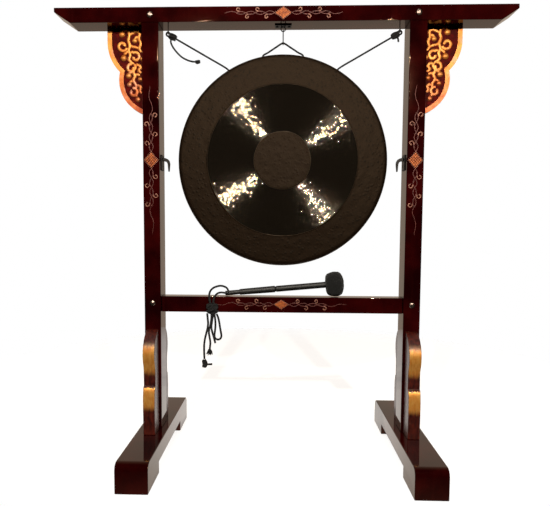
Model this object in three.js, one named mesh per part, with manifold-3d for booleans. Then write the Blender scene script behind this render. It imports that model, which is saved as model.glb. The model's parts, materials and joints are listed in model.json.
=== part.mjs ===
// A tam-tam gong on its lacquered wooden floor stand, with its mallet lying on the cross rail.
// Millimetres, +Z up. The front faces -Y and +X is to the right. The origin is on the floor,
// midway between the two posts.
import * as THREE from "three";
import { mergeVertices } from "three/addons/utils/BufferGeometryUtils.js";
import Module from "manifold-3d";

const wasm = await Module();
wasm.setup();

// ---- Driving dimensions ----
const GAP = 0.3; // air left between pieces that touch
const EDGE = 2; // chamfer on the long edges of the timber

const FOOT_LENGTH = 556;
const FOOT_WIDTH = 86;
const FOOT_HEIGHT = 80;
const FOOT_PAD_LENGTH = 124;
const FOOT_ARCH_HEIGHT = 32;
const FOOT_NOSE_RADIUS = 20;

const POST_SPACING = 752;
const POST_WIDTH = 48;
const POST_DEPTH = 68;

const BEAM_LENGTH = 1300;
const BEAM_HEIGHT = 42;
const BEAM_DEPTH = 68;
const BEAM_UNDERSIDE = 1252;
const BEAM_END_FACE = 12; // upright part of each end, above the slope
const BEAM_END_SLOPE = 45; // how far the slope cuts in

const RAIL_UNDERSIDE = 428;
const RAIL_HEIGHT = 46;
const RAIL_DEPTH = 46;

const TENON_CLEARANCE = 0.4; // all round each tenon
const POST_TENON_WIDTH = 28;
const POST_TENON_DEPTH = 40;
const POST_TOP_TENON = 30;
const POST_FOOT_TENON = 34;
const RAIL_TENON_HEIGHT = 26;
const RAIL_TENON_DEPTH = 24;
const RAIL_TENON_LENGTH = 38;

const BRACKET_REACH = 112; // from the post, under the beam
const BRACKET_THICKNESS = 18;
const BRACKET_FRONT = 12; // y of its front face
const BRACKET_FLANK = 46; // straight outer edge below the beam
const BRACKET_LOBE_RADIUS = 80; // upper lobe
const BRACKET_TAIL_RADIUS = 105.5; // lower lobe, which runs into the post
const BRACKET_TAIL_INSET = 28; // its centre is this far inside the post's face
const BRACKET_TAIL_DROP = 142; // and this far below the beam

const BRACE_THICKNESS = 34;
const BRACE_HEIGHT = 297;
const BRACE_REACH = 57;
const BRACE_LEDGE = 140; // height of the ledge between its two lobes
const BRACE_WAIST = 45; // reach just above the ledge

const BOLT_DIAMETER = 8;
const BOLT_HEAD_DIAMETER = 17;
const BOLT_HEAD_HEIGHT = 4.5;
const BOLT_CLEARANCE = 0.4; // radial, in every hole for a bolt or screw
const NUT_ACROSS = 15;
const NUT_HEIGHT = 6.5;
const RAIL_BOLT_HEIGHT = 455;
const FOOT_BOLT_LENGTH = 75;
const FOOT_BOLT_RECESS = 8;

const SUSPENSION_DROP = 16; // hinge line of the gong, below the beam
const EYE_SPREAD = 331; // x of the two outer screw eyes
const SCREW_EYE_WIRE = 2.5;
const SCREW_EYE_SHANK = 16; // length in the wood
const EYE_PLATE_LENGTH = 48;
const EYE_PLATE_WIDTH = 24;
const EYE_PLATE_THICKNESS = 3;
const EYE_PLATE_SCREW_SPREAD = 34;
const EYE_RING_RADIUS = 6.5; // to the middle of the wire
const EYE_RING_WIRE = 3;
const SCREW_DIAMETER = 4;
const SCREW_HEAD_DIAMETER = 8;
const SCREW_LENGTH = 20;

const HOOK_HEIGHT = 864; // of the hook plates' middle
const HOOK_PLATE_HEIGHT = 44;
const HOOK_PLATE_WIDTH = 28;
const HOOK_PLATE_THICKNESS = 3;
const HOOK_WIDTH = 8;
const HOOK_BOLT_SPACING = 22;
const HOOK_BOLT_DIAMETER = 5;
const HOOK_BOLT_HEAD = 11;

const GONG_RADIUS = 305;
const GONG_CENTRE = 870;
const GONG_THICKNESS = 2;
const GONG_CROWN_Y = -14; // front of its middle
const GONG_BOSS_RADIUS = 82; // unlathed middle
const GONG_LATHED_RADIUS = 218; // outer edge of the lathed band
const GONG_SHOULDER = 13; // radius where the face turns into the rim
const GONG_RIM_DEPTH = 58; // from the crown to the rim's back edge
const GONG_RIM_TAPER = 3.5; // the rim leans in by this much
const RIM_HOLE_DEPTH = 30; // from the crown to the middle of the holes
const CENTRE_HOLE_TURN = 11; // degrees round the rim from the top to the inner pair of holes
const SIDE_HOLE_TURN = 31; // and to the outer pair

const CORD = 5; // diameter of the cords that the gong hangs on
const MALLET_CORD = 6; // diameter of the mallet's wrist cord and its tassel
const SHOOK_WIRE = 3;
const WIRE_PLAY = 0.4; // air between the S-hook and what it holds
const CENTRE_CORD_DROP = 32.5; // from the hinge line to the cord's apex

const MALLET_HEAD_X = 157;
const MALLET_HEAD_RADIUS = 37;
const MALLET_HEAD_LENGTH = 52;
const MALLET_CORE_RADIUS = 22;
const MALLET_END_X = -166;
const MALLET_SHAFT_DIAMETER = 18;
const MALLET_END_DIAMETER = 14;
const MALLET_END_LENGTH = 43;
const MALLET_GRIP_LENGTH = 106;
const MALLET_GRIP_WALL = 1.5;
const MALLET_HOLE_INSET = 9; // from the end of the handle

const TASSEL_KNOT_LENGTH = 34; // along the rail
const TASSEL_KNOT_DEPTH = 18;
const TASSEL_KNOT_HEIGHT = 26;
const TASSEL_KNOT_DROP = 34; // its middle, below the top of the rail
const TASSEL_KNOT_SET = 44; // and this far to the left of the hole in the handle

// ---- What follows from them ----
const BEAM_TOP = BEAM_UNDERSIDE + BEAM_HEIGHT;
const RAIL_TOP = RAIL_UNDERSIDE + RAIL_HEIGHT;
const POST_X = POST_SPACING / 2;
const POST_INNER = POST_X - POST_WIDTH / 2;
const POST_OUTER = POST_X + POST_WIDTH / 2;
const HINGE_Z = BEAM_UNDERSIDE - SUSPENSION_DROP;
const RIM_HOLE_Y = GONG_CROWN_Y + RIM_HOLE_DEPTH;
const RIM_HOLE_DIAMETER = CORD + 4;
const RIM_KNOT_RADIUS = CORD + 2;
const SCREW_EYE_BORE = CORD + 2.6;
const MALLET_CORD_HOLE = MALLET_CORD + 1.2;
const SHOOK_TOP_RADIUS = (EYE_RING_WIRE + SHOOK_WIRE) / 2 + WIRE_PLAY;
const SHOOK_LOW_RADIUS = (CORD + SHOOK_WIRE) / 2 + WIRE_PLAY;
const SIDES = [
  ["left", -1],
  ["right", 1],
];

// ---- Finishes ----
const finish = (color, roughness, metalness) => ({ color, roughness, metalness });
const LACQUER = finish(0x2e0d0c, 0.25, 0);
const CARVED = finish(0xc98a3c, 0.4, 0.5);
const BRONZE = finish(0x3a3024, 0.5, 0.8);
const STEEL = finish(0xb9a79c, 0.3, 1);
const BLACK_IRON = finish(0x17130f, 0.5, 0.6);
const CORD_BLACK = finish(0x101010, 0.8, 0);
const RUBBER = finish(0x161616, 0.6, 0);
const FELT = finish(0x0e0e0e, 0.95, 0);
const CORE_WOOD = finish(0x8a6a45, 0.7, 0);

const model = new THREE.Group();
const standGroup = new THREE.Group();
const gongGroup = new THREE.Group();
const malletGroup = new THREE.Group();
model.add(standGroup, gongGroup, malletGroup);

function addPart(group, name, geometry, look) {
  const mesh = new THREE.Mesh(geometry, new THREE.MeshStandardMaterial(look));
  mesh.name = name;
  group.add(mesh);
}

// ---- Solids ----
const point = (x, y, z) => new THREE.Vector3(x, y, z);
const near = (anchor, x, y, z) => anchor.clone().add(point(x, y, z));

function solidOf(geometry) {
  const bare = geometry.index ? geometry.toNonIndexed() : geometry.clone();
  bare.deleteAttribute("normal");
  bare.deleteAttribute("uv");
  const merged = mergeVertices(bare, 1e-4);
  const solid = new wasm.Manifold(
    new wasm.Mesh({
      numProp: 3,
      vertProperties: merged.attributes.position.array,
      triVerts: new Uint32Array(merged.index.array),
    }),
  );
  return solid;
}

function geometryOf(solid) {
  const { vertProperties, triVerts } = solid.getMesh();
  const geometry = new THREE.BufferGeometry();
  geometry.setAttribute("position", new THREE.BufferAttribute(vertProperties, 3));
  geometry.setIndex(new THREE.BufferAttribute(triVerts, 1));
  const flat = geometry.toNonIndexed();
  flat.computeVertexNormals();
  return flat;
}

function join(first, ...others) {
  return geometryOf(others.reduce((sum, g) => sum.add(solidOf(g)), solidOf(first)));
}

function cut(first, ...tools) {
  return geometryOf(tools.reduce((sum, g) => sum.subtract(solidOf(g)), solidOf(first)));
}

// A box from its lowest and highest corners.
function block(low, high) {
  const size = high.clone().sub(low);
  const middle = low.clone().add(high).multiplyScalar(0.5);
  return new THREE.BoxGeometry(size.x, size.y, size.z).translate(middle.x, middle.y, middle.z);
}

// A round bar between two points.
function rod(diameter, from, to, sides = 12) {
  const run = to.clone().sub(from);
  const bar = new THREE.CylinderGeometry(diameter / 2, diameter / 2, run.length(), sides);
  return alongFrom(bar.translate(0, run.length() / 2, 0), from, run);
}

// Turns a shape that stands on the origin along +Y to run from a point in a direction.
function alongFrom(geometry, from, direction) {
  const turn = new THREE.Quaternion().setFromUnitVectors(
    point(0, 1, 0),
    direction.clone().normalize(),
  );
  return geometry.applyQuaternion(turn).translate(from.x, from.y, from.z);
}

// The three drawing planes: which world axes an outline's x, y and its thickness follow.
const PLANES = {
  front: [point(1, 0, 0), point(0, 0, 1), point(0, -1, 0)],
  side: [point(0, 1, 0), point(0, 0, 1), point(1, 0, 0)],
  plan: [point(1, 0, 0), point(0, 1, 0), point(0, 0, 1)],
};
const THICKNESS_AXIS = { front: "y", side: "x", plan: "z" };

// An outline given a thickness, with chamfered edges, starting at a place on its thickness axis.
function board(outline, plane, start, thickness, chamfer = EDGE, curveSegments = 12) {
  const geometry = new THREE.ExtrudeGeometry(outline, {
    depth: thickness - 2 * chamfer,
    bevelEnabled: chamfer > 0,
    bevelThickness: chamfer,
    bevelSize: chamfer,
    bevelOffset: -chamfer,
    bevelSegments: 1,
    curveSegments,
  });
  geometry.applyMatrix4(new THREE.Matrix4().makeBasis(...PLANES[plane]));
  geometry.computeBoundingBox();
  const axis = THICKNESS_AXIS[plane];
  const shift = point(0, 0, 0);
  shift[axis] = start - geometry.boundingBox.min[axis];
  return geometry.translate(shift.x, shift.y, shift.z);
}

function rectangle(x0, y0, x1, y1) {
  return new THREE.Shape([
    new THREE.Vector2(x0, y0),
    new THREE.Vector2(x1, y0),
    new THREE.Vector2(x1, y1),
    new THREE.Vector2(x0, y1),
  ]);
}

// A round section swept along a smooth curve through the given points.
function sweep(diameter, points, stepLength = 2.5 * diameter, sides = 8) {
  const route = new THREE.CatmullRomCurve3(points, false, "centripetal");
  const ring = [];
  for (let i = 0; i < sides; i += 1) {
    const angle = (2 * Math.PI * i) / sides;
    ring.push(new THREE.Vector2(Math.cos(angle), Math.sin(angle)).multiplyScalar(diameter / 2));
  }
  return new THREE.ExtrudeGeometry(new THREE.Shape(ring), {
    steps: Math.max(4, Math.ceil(route.getLength() / stepLength)),
    extrudePath: route,
  });
}

// A profile of [radius, height] pairs turned about an axis that starts at a point.
function turned(profile, from, direction, sides = 20) {
  const points = profile.map(([radius, height]) => new THREE.Vector2(radius, height));
  return alongFrom(new THREE.LatheGeometry(points, sides), from, direction);
}

// A lump of tied cord: an ellipsoid with its length along a direction.
function lump(centre, direction, length, width, depth) {
  const ball = new THREE.SphereGeometry(0.5, 10, 6).scale(width, length, depth);
  return alongFrom(ball, centre, direction);
}

// A ring of wire in the plane across an axis.
function wireRing(centre, axis, radius, wire, sides = 8, around = 16) {
  const torus = new THREE.TorusGeometry(radius, wire / 2, sides, around);
  const turn = new THREE.Quaternion().setFromUnitVectors(point(0, 0, 1), axis);
  return torus.applyQuaternion(turn).translate(centre.x, centre.y, centre.z);
}

const domeProfile = (radius, height) => [
  [radius, 0],
  [radius, 0.3 * height],
  [0.8 * radius, 0.75 * height],
  [0.42 * radius, height],
  [0, height],
];

// ---- Bolts that run from front to back, with a nut behind ----
const holeAlong = (from, to, diameter) => rod(diameter + 2 * BOLT_CLEARANCE, from, to);

function addThroughBolt(name, x, z, front, back) {
  const head = turned(
    [[0, 0], ...domeProfile(BOLT_HEAD_DIAMETER / 2, BOLT_HEAD_HEIGHT)],
    point(x, front - GAP, z),
    point(0, -1, 0),
  );
  const shank = rod(
    BOLT_DIAMETER,
    point(x, front - GAP - 0.5, z),
    point(x, back + GAP + NUT_HEIGHT + 1.5, z),
  );
  addPart(standGroup, `${name}_bolt`, join(head, shank), STEEL);
  const nut = rod(
    NUT_ACROSS,
    point(x, back + GAP, z),
    point(x, back + GAP + NUT_HEIGHT, z),
    6,
  );
  const bore = holeAlong(point(x, back - 5, z), point(x, back + NUT_HEIGHT + 5, z), BOLT_DIAMETER);
  addPart(standGroup, `${name}_nut`, cut(nut, bore), STEEL);
}

// ---- Feet ----
function footOutline() {
  const end = FOOT_LENGTH / 2;
  const arch = end - FOOT_PAD_LENGTH;
  const nose = FOOT_NOSE_RADIUS;
  const soft = 6; // rounding where each pad meets the arch
  const outline = new THREE.Shape();
  outline.moveTo(-end, 0);
  outline.lineTo(-arch, 0);
  outline.lineTo(-arch, FOOT_ARCH_HEIGHT - soft);
  outline.quadraticCurveTo(-arch, FOOT_ARCH_HEIGHT, -arch + soft, FOOT_ARCH_HEIGHT);
  outline.lineTo(arch - soft, FOOT_ARCH_HEIGHT);
  outline.quadraticCurveTo(arch, FOOT_ARCH_HEIGHT, arch, FOOT_ARCH_HEIGHT - soft);
  outline.lineTo(arch, 0);
  outline.lineTo(end, 0);
  outline.lineTo(end, FOOT_HEIGHT - nose);
  outline.absarc(end - nose, FOOT_HEIGHT - nose, nose, 0, Math.PI / 2, false);
  outline.absarc(-end + nose, FOOT_HEIGHT - nose, nose, Math.PI / 2, Math.PI, false);
  return outline;
}

function addFoot(side, sign) {
  const x = sign * POST_X;
  const timber = board(footOutline(), "side", x - FOOT_WIDTH / 2, FOOT_WIDTH, EDGE, 5);
  const halfWidth = POST_TENON_WIDTH / 2 + TENON_CLEARANCE;
  const halfDepth = POST_TENON_DEPTH / 2 + TENON_CLEARANCE;
  const mortiseFloor = FOOT_HEIGHT - POST_FOOT_TENON - TENON_CLEARANCE;
  const mortise = block(
    point(x - halfWidth, -halfDepth, mortiseFloor),
    point(x + halfWidth, halfDepth, FOOT_HEIGHT + 5),
  );
  const boltHole = holeAlong(point(x, 0, 0), point(x, 0, FOOT_HEIGHT), BOLT_DIAMETER);
  const recess = rod(
    BOLT_HEAD_DIAMETER + 3,
    point(x, 0, FOOT_ARCH_HEIGHT - 5),
    point(x, 0, FOOT_ARCH_HEIGHT + FOOT_BOLT_RECESS),
    20,
  );
  addPart(standGroup, `${side}_foot`, cut(timber, mortise, boltHole, recess), LACQUER);

  const seat = FOOT_ARCH_HEIGHT + FOOT_BOLT_RECESS - GAP;
  const head = rod(BOLT_HEAD_DIAMETER, point(x, 0, seat - 5), point(x, 0, seat), 20);
  const shank = rod(BOLT_DIAMETER, point(x, 0, seat - 1), point(x, 0, seat + FOOT_BOLT_LENGTH));
  addPart(standGroup, `${side}_foot_bolt`, join(head, shank), STEEL);
}

// ---- Posts ----
function addPost(side, sign) {
  const x = sign * POST_X;
  const low = FOOT_HEIGHT + GAP;
  const high = BEAM_UNDERSIDE - GAP;
  const shaft = board(
    rectangle(x - POST_WIDTH / 2, low, x + POST_WIDTH / 2, high),
    "front",
    -POST_DEPTH / 2,
    POST_DEPTH,
  );
  const tenon = block(
    point(x - POST_TENON_WIDTH / 2, -POST_TENON_DEPTH / 2, FOOT_HEIGHT - POST_FOOT_TENON),
    point(x + POST_TENON_WIDTH / 2, POST_TENON_DEPTH / 2, BEAM_UNDERSIDE + POST_TOP_TENON),
  );
  const halfHeight = RAIL_TENON_HEIGHT / 2 + TENON_CLEARANCE;
  const railMiddle = RAIL_UNDERSIDE + RAIL_HEIGHT / 2;
  const mortiseEnd = POST_INNER + RAIL_TENON_LENGTH + TENON_CLEARANCE;
  const mortise = block(
    point(
      Math.min(sign * (POST_INNER - 5), sign * mortiseEnd),
      -RAIL_TENON_DEPTH / 2 - TENON_CLEARANCE,
      railMiddle - halfHeight,
    ),
    point(
      Math.max(sign * (POST_INNER - 5), sign * mortiseEnd),
      RAIL_TENON_DEPTH / 2 + TENON_CLEARANCE,
      railMiddle + halfHeight,
    ),
  );
  const across = (z) => holeAlong(point(x, -POST_DEPTH, z), point(x, POST_DEPTH, z), BOLT_DIAMETER);
  const hookHoles = hookBoltHeights().map((z) =>
    holeAlong(point(sign * (POST_INNER - 5), 0, z), point(sign * (POST_OUTER + 5), 0, z),
      HOOK_BOLT_DIAMETER),
  );
  const boltTop = FOOT_ARCH_HEIGHT + FOOT_BOLT_RECESS + FOOT_BOLT_LENGTH + 1;
  const upright = holeAlong(point(x, 0, 0), point(x, 0, boltTop), BOLT_DIAMETER);
  addPart(
    standGroup,
    `${side}_post`,
    cut(
      join(shaft, tenon),
      mortise,
      across(RAIL_BOLT_HEIGHT),
      across(BEAM_UNDERSIDE + BEAM_HEIGHT / 2),
      upright,
      ...hookHoles,
    ),
    LACQUER,
  );
}

// ---- Top beam ----
function beamOutline() {
  const end = BEAM_LENGTH / 2;
  const foot = end - BEAM_END_SLOPE;
  return new THREE.Shape([
    new THREE.Vector2(-foot, BEAM_UNDERSIDE),
    new THREE.Vector2(foot, BEAM_UNDERSIDE),
    new THREE.Vector2(end, BEAM_TOP - BEAM_END_FACE),
    new THREE.Vector2(end, BEAM_TOP),
    new THREE.Vector2(-end, BEAM_TOP),
    new THREE.Vector2(-end, BEAM_TOP - BEAM_END_FACE),
  ]);
}

function addBeam() {
  const cuts = [];
  for (const [, sign] of SIDES) {
    const x = sign * POST_X;
    const halfWidth = POST_TENON_WIDTH / 2 + TENON_CLEARANCE;
    const halfDepth = POST_TENON_DEPTH / 2 + TENON_CLEARANCE;
    const boltZ = BEAM_UNDERSIDE + BEAM_HEIGHT / 2;
    cuts.push(
      block(
        point(x - halfWidth, -halfDepth, BEAM_UNDERSIDE - 5),
        point(x + halfWidth, halfDepth, BEAM_UNDERSIDE + POST_TOP_TENON + TENON_CLEARANCE),
      ),
      holeAlong(point(x, -BEAM_DEPTH, boltZ), point(x, BEAM_DEPTH, boltZ), BOLT_DIAMETER),
      holeAlong(
        point(sign * EYE_SPREAD, 0, BEAM_UNDERSIDE - 5),
        point(sign * EYE_SPREAD, 0, BEAM_UNDERSIDE + SCREW_EYE_SHANK + 1),
        SCREW_EYE_WIRE,
      ),
      holeAlong(
        point((sign * EYE_PLATE_SCREW_SPREAD) / 2, 0, BEAM_UNDERSIDE - 5),
        point((sign * EYE_PLATE_SCREW_SPREAD) / 2, 0, BEAM_UNDERSIDE + SCREW_LENGTH),
        SCREW_DIAMETER,
      ),
    );
  }
  const timber = board(beamOutline(), "front", -BEAM_DEPTH / 2, BEAM_DEPTH);
  addPart(standGroup, "top_beam", cut(timber, ...cuts), LACQUER);
}

// ---- Cross rail ----
function addRail() {
  const shoulder = POST_INNER - GAP;
  const middle = RAIL_UNDERSIDE + RAIL_HEIGHT / 2;
  const bar = board(
    rectangle(-shoulder, RAIL_UNDERSIDE, shoulder, RAIL_TOP),
    "front",
    -RAIL_DEPTH / 2,
    RAIL_DEPTH,
  );
  const reach = POST_INNER + RAIL_TENON_LENGTH;
  const tenons = block(
    point(-reach, -RAIL_TENON_DEPTH / 2, middle - RAIL_TENON_HEIGHT / 2),
    point(reach, RAIL_TENON_DEPTH / 2, middle + RAIL_TENON_HEIGHT / 2),
  );
  const holes = SIDES.map(([, sign]) =>
    holeAlong(
      point(sign * POST_X, -RAIL_DEPTH, RAIL_BOLT_HEIGHT),
      point(sign * POST_X, RAIL_DEPTH, RAIL_BOLT_HEIGHT),
      BOLT_DIAMETER,
    ),
  );
  addPart(standGroup, "cross_rail", cut(join(bar, tenons), ...holes), LACQUER);
}

// ---- Carved brackets under the beam's ends ----
// Drawn for the right side: x is the reach from the post, y is the drop below the beam, negative.
function bracketOutline(sign) {
  const lobeX = BRACKET_REACH - BRACKET_LOBE_RADIUS;
  const tailX = -BRACKET_TAIL_INSET;
  // Where the two lobes meet: the crossing of their two circles on the outer side.
  const apart = Math.hypot(lobeX - tailX, BRACKET_TAIL_DROP - BRACKET_FLANK);
  const along =
    (BRACKET_LOBE_RADIUS ** 2 - BRACKET_TAIL_RADIUS ** 2 + apart ** 2) / (2 * apart);
  const aside = Math.sqrt(BRACKET_LOBE_RADIUS ** 2 - along ** 2);
  const toTail = new THREE.Vector2(tailX - lobeX, BRACKET_FLANK - BRACKET_TAIL_DROP);
  toTail.divideScalar(apart);
  const cusp = new THREE.Vector2(lobeX, -BRACKET_FLANK)
    .addScaledVector(toTail, along)
    .addScaledVector(new THREE.Vector2(-toTail.y, toTail.x), aside);
  const cuspOnLobe = Math.atan2(cusp.y + BRACKET_FLANK, cusp.x - lobeX);
  const cuspOnTail = Math.atan2(cusp.y + BRACKET_TAIL_DROP, cusp.x - tailX);
  const tip = -Math.acos((BRACKET_TAIL_INSET + GAP) / BRACKET_TAIL_RADIUS);

  const right = [new THREE.Vector2(GAP, -GAP), new THREE.Vector2(BRACKET_REACH, -GAP)];
  const arc = (cx, cy, radius, from, to, steps) => {
    for (let i = 0; i <= steps; i += 1) {
      const angle = from + ((to - from) * i) / steps;
      right.push(
        new THREE.Vector2(cx + radius * Math.cos(angle), cy + radius * Math.sin(angle)),
      );
    }
  };
  arc(lobeX, -BRACKET_FLANK, BRACKET_LOBE_RADIUS, 0, cuspOnLobe, 7);
  right.pop();
  arc(tailX, -BRACKET_TAIL_DROP, BRACKET_TAIL_RADIUS, cuspOnTail, tip, 10);
  return new THREE.Shape(
    right.map((p) => new THREE.Vector2(sign * (POST_OUTER + p.x), BEAM_UNDERSIDE + p.y)),
  );
}

function addBracket(side, sign) {
  const plate = board(bracketOutline(sign), "front", BRACKET_FRONT, BRACKET_THICKNESS, 1.5);
  addPart(standGroup, `${side}_bracket`, plate, CARVED);
}

// ---- Braces between each post and its foot ----
// x is the reach from the post, y the height above the foot.
function braceOutline(direction) {
  const face = POST_DEPTH / 2 + GAP;
  const base = FOOT_HEIGHT + GAP;
  const at = (reach, height) => [direction * (face + reach), base + height];
  const outline = new THREE.Shape();
  outline.moveTo(...at(0, 0));
  outline.lineTo(...at(BRACE_REACH - 2, 0));
  outline.lineTo(...at(BRACE_REACH, 0.4 * BRACE_LEDGE));
  outline.bezierCurveTo(
    ...at(BRACE_REACH + 2, 0.72 * BRACE_LEDGE),
    ...at(BRACE_REACH, 0.94 * BRACE_LEDGE),
    ...at(BRACE_WAIST + 5, BRACE_LEDGE),
  );
  outline.lineTo(...at(BRACE_WAIST, BRACE_LEDGE));
  const shoulder = BRACE_HEIGHT - BRACE_LEDGE;
  outline.lineTo(...at(BRACE_WAIST, BRACE_LEDGE + 0.22 * shoulder));
  outline.bezierCurveTo(
    ...at(BRACE_WAIST, BRACE_LEDGE + 0.42 * shoulder),
    ...at(BRACE_REACH, BRACE_LEDGE + 0.4 * shoulder),
    ...at(BRACE_REACH - 1, BRACE_LEDGE + 0.6 * shoulder),
  );
  outline.bezierCurveTo(
    ...at(BRACE_REACH - 4, BRACE_LEDGE + 0.82 * shoulder),
    ...at(0.5 * BRACE_REACH, BRACE_HEIGHT - 8),
    ...at(6, BRACE_HEIGHT),
  );
  outline.lineTo(...at(0, BRACE_HEIGHT));
  return outline;
}

function addBraces(side, sign) {
  const start = sign * POST_X - BRACE_THICKNESS / 2;
  for (const [place, direction] of [["front", -1], ["rear", 1]]) {
    const brace = board(braceOutline(direction), "side", start, BRACE_THICKNESS, EDGE, 6);
    addPart(standGroup, `${side}_${place}_brace`, brace, CARVED);
  }
}

// ---- Hooks on the inner sides of the posts ----
function hookBoltHeights() {
  return [HOOK_HEIGHT + HOOK_BOLT_SPACING / 2, HOOK_HEIGHT - HOOK_BOLT_SPACING / 2];
}

// The claw: out from the plate and down to a blunt point, drawn from the plate's face.
function clawOutline(sign) {
  const face = POST_INNER - GAP - HOOK_PLATE_THICKNESS;
  const at = (out, up) => [sign * (face - out), HOOK_HEIGHT + up];
  const outline = new THREE.Shape();
  outline.moveTo(...at(-1, 15));
  outline.bezierCurveTo(...at(12, 14), ...at(20, 10), ...at(20.5, -4));
  outline.lineTo(...at(18.5, -25));
  outline.lineTo(...at(15.5, -25));
  outline.lineTo(...at(13.5, -4));
  outline.bezierCurveTo(...at(12.5, 3), ...at(8, 5), ...at(-1, 5));
  return outline;
}

function addHook(side, sign) {
  const back = sign * (POST_INNER - GAP);
  const face = sign * (POST_INNER - GAP - HOOK_PLATE_THICKNESS);
  const plate = block(
    point(Math.min(back, face), -HOOK_PLATE_WIDTH / 2, HOOK_HEIGHT - HOOK_PLATE_HEIGHT / 2),
    point(Math.max(back, face), HOOK_PLATE_WIDTH / 2, HOOK_HEIGHT + HOOK_PLATE_HEIGHT / 2),
  );
  const claw = board(clawOutline(sign), "front", -HOOK_WIDTH / 2, HOOK_WIDTH, 1, 8);
  const bores = hookBoltHeights().map((z) =>
    holeAlong(
      point(sign * (POST_INNER + 5), 0, z),
      point(sign * (POST_INNER - HOOK_PLATE_THICKNESS - 2.5), 0, z),
      HOOK_BOLT_DIAMETER,
    ),
  );
  addPart(standGroup, `${side}_hook`, cut(join(plate, claw), ...bores), BLACK_IRON);

  hookBoltHeights().forEach((z, index) => {
    const seat = sign * (POST_OUTER + GAP);
    const head = turned(
      [[0, 0], ...domeProfile(HOOK_BOLT_HEAD / 2, 4)],
      point(seat, 0, z),
      point(sign, 0, 0),
      16,
    );
    const shank = rod(
      HOOK_BOLT_DIAMETER,
      point(seat + sign * 0.5, 0, z),
      point(sign * (POST_INNER - GAP - HOOK_PLATE_THICKNESS + 0.5), 0, z),
      12,
    );
    const place = index === 0 ? "upper" : "lower";
    addPart(standGroup, `${side}_hook_${place}_bolt`, join(head, shank), BLACK_IRON);
  });
}

// ---- Hardware that carries the gong ----
function addEyePlate() {
  const top = BEAM_UNDERSIDE - GAP;
  const ringCentre = point(0, 0, HINGE_Z + EYE_RING_RADIUS);
  const plate = board(
    rectangle(
      -EYE_PLATE_LENGTH / 2,
      -EYE_PLATE_WIDTH / 2,
      EYE_PLATE_LENGTH / 2,
      EYE_PLATE_WIDTH / 2,
    ),
    "plan",
    top - EYE_PLATE_THICKNESS,
    EYE_PLATE_THICKNESS,
    0.6,
  );
  const ring = wireRing(ringCentre, point(0, 1, 0), EYE_RING_RADIUS, EYE_RING_WIRE);
  const holes = SIDES.map(([, sign]) =>
    holeAlong(
      point((sign * EYE_PLATE_SCREW_SPREAD) / 2, 0, top - 10),
      point((sign * EYE_PLATE_SCREW_SPREAD) / 2, 0, top + 5),
      SCREW_DIAMETER,
    ),
  );
  addPart(standGroup, "eye_plate", cut(join(plate, ring), ...holes), BLACK_IRON);

  for (const [side, sign] of SIDES) {
    const x = (sign * EYE_PLATE_SCREW_SPREAD) / 2;
    const seat = top - EYE_PLATE_THICKNESS - GAP;
    const head = turned(
      [[0, 0], ...domeProfile(SCREW_HEAD_DIAMETER / 2, 2.2)],
      point(x, 0, seat),
      point(0, 0, -1),
      16,
    );
    const shank = rod(SCREW_DIAMETER, point(x, 0, seat - 0.5), point(x, 0, seat + SCREW_LENGTH), 10);
    addPart(standGroup, `eye_plate_${side}_screw`, join(head, shank), BLACK_IRON);
  }
}

function addScrewEye(side, sign) {
  const centre = point(sign * EYE_SPREAD, 0, HINGE_Z);
  const radius = (SCREW_EYE_BORE + SCREW_EYE_WIRE) / 2;
  const ring = wireRing(centre, point(1, 0, 0), radius, SCREW_EYE_WIRE);
  const shank = rod(
    SCREW_EYE_WIRE,
    centre.clone().add(point(0, 0, radius)),
    point(centre.x, 0, BEAM_UNDERSIDE + SCREW_EYE_SHANK),
    10,
  );
  addPart(standGroup, `${side}_screw_eye`, join(ring, shank), BLACK_IRON);
}

// ---- Gong ----
function gongProfile() {
  const rimRadius = (depth) => {
    const back = (depth - shoulderDepth) / (GONG_RIM_DEPTH - shoulderDepth);
    return GONG_RADIUS - GONG_RIM_TAPER * back;
  };
  const shoulderX = GONG_RADIUS - GONG_SHOULDER;
  const faceDepth = 11; // how far the crowned face falls back at its edge
  const shoulderDepth = faceDepth + GONG_SHOULDER;
  // The crowned face, from the middle out, with a slight step at each edge of the lathed band.
  const face = [
    [0, 0],
    [GONG_BOSS_RADIUS, 0.8],
    [GONG_BOSS_RADIUS + 2, 1.5],
    [GONG_LATHED_RADIUS, 5],
    [GONG_LATHED_RADIUS + 2, 5.7],
    [shoulderX, faceDepth],
  ];
  const front = [...face];
  const turnSteps = 3;
  for (let i = 1; i <= turnSteps; i += 1) {
    const angle = (Math.PI / 2) * (1 - i / turnSteps);
    front.push([
      shoulderX + GONG_SHOULDER * Math.cos(angle),
      shoulderDepth - GONG_SHOULDER * Math.sin(angle),
    ]);
  }
  front.push([rimRadius(GONG_RIM_DEPTH), GONG_RIM_DEPTH]);
  const back = [[rimRadius(GONG_RIM_DEPTH) - GONG_THICKNESS, GONG_RIM_DEPTH]];
  const inner = GONG_SHOULDER - GONG_THICKNESS;
  for (let i = turnSteps; i >= 1; i -= 1) {
    const angle = (Math.PI / 2) * (1 - i / turnSteps);
    back.push([shoulderX + inner * Math.cos(angle), shoulderDepth - inner * Math.sin(angle)]);
  }
  for (const [radius, depth] of face.slice().reverse()) {
    back.push([radius, depth + GONG_THICKNESS]);
  }
  return [...front, ...back];
}

// A point at a distance from the gong's axis, on the line through a hole this far round the rim.
function onHoleLine(turn, distance) {
  const angle = THREE.MathUtils.degToRad(turn);
  const across = distance * Math.sin(angle);
  return point(across, RIM_HOLE_Y, GONG_CENTRE + distance * Math.cos(angle));
}

const RIM_INSIDE = GONG_RADIUS - GONG_RIM_TAPER - GONG_THICKNESS + 2;
const holeTurns = [-CENTRE_HOLE_TURN, CENTRE_HOLE_TURN, -SIDE_HOLE_TURN, SIDE_HOLE_TURN];

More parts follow.
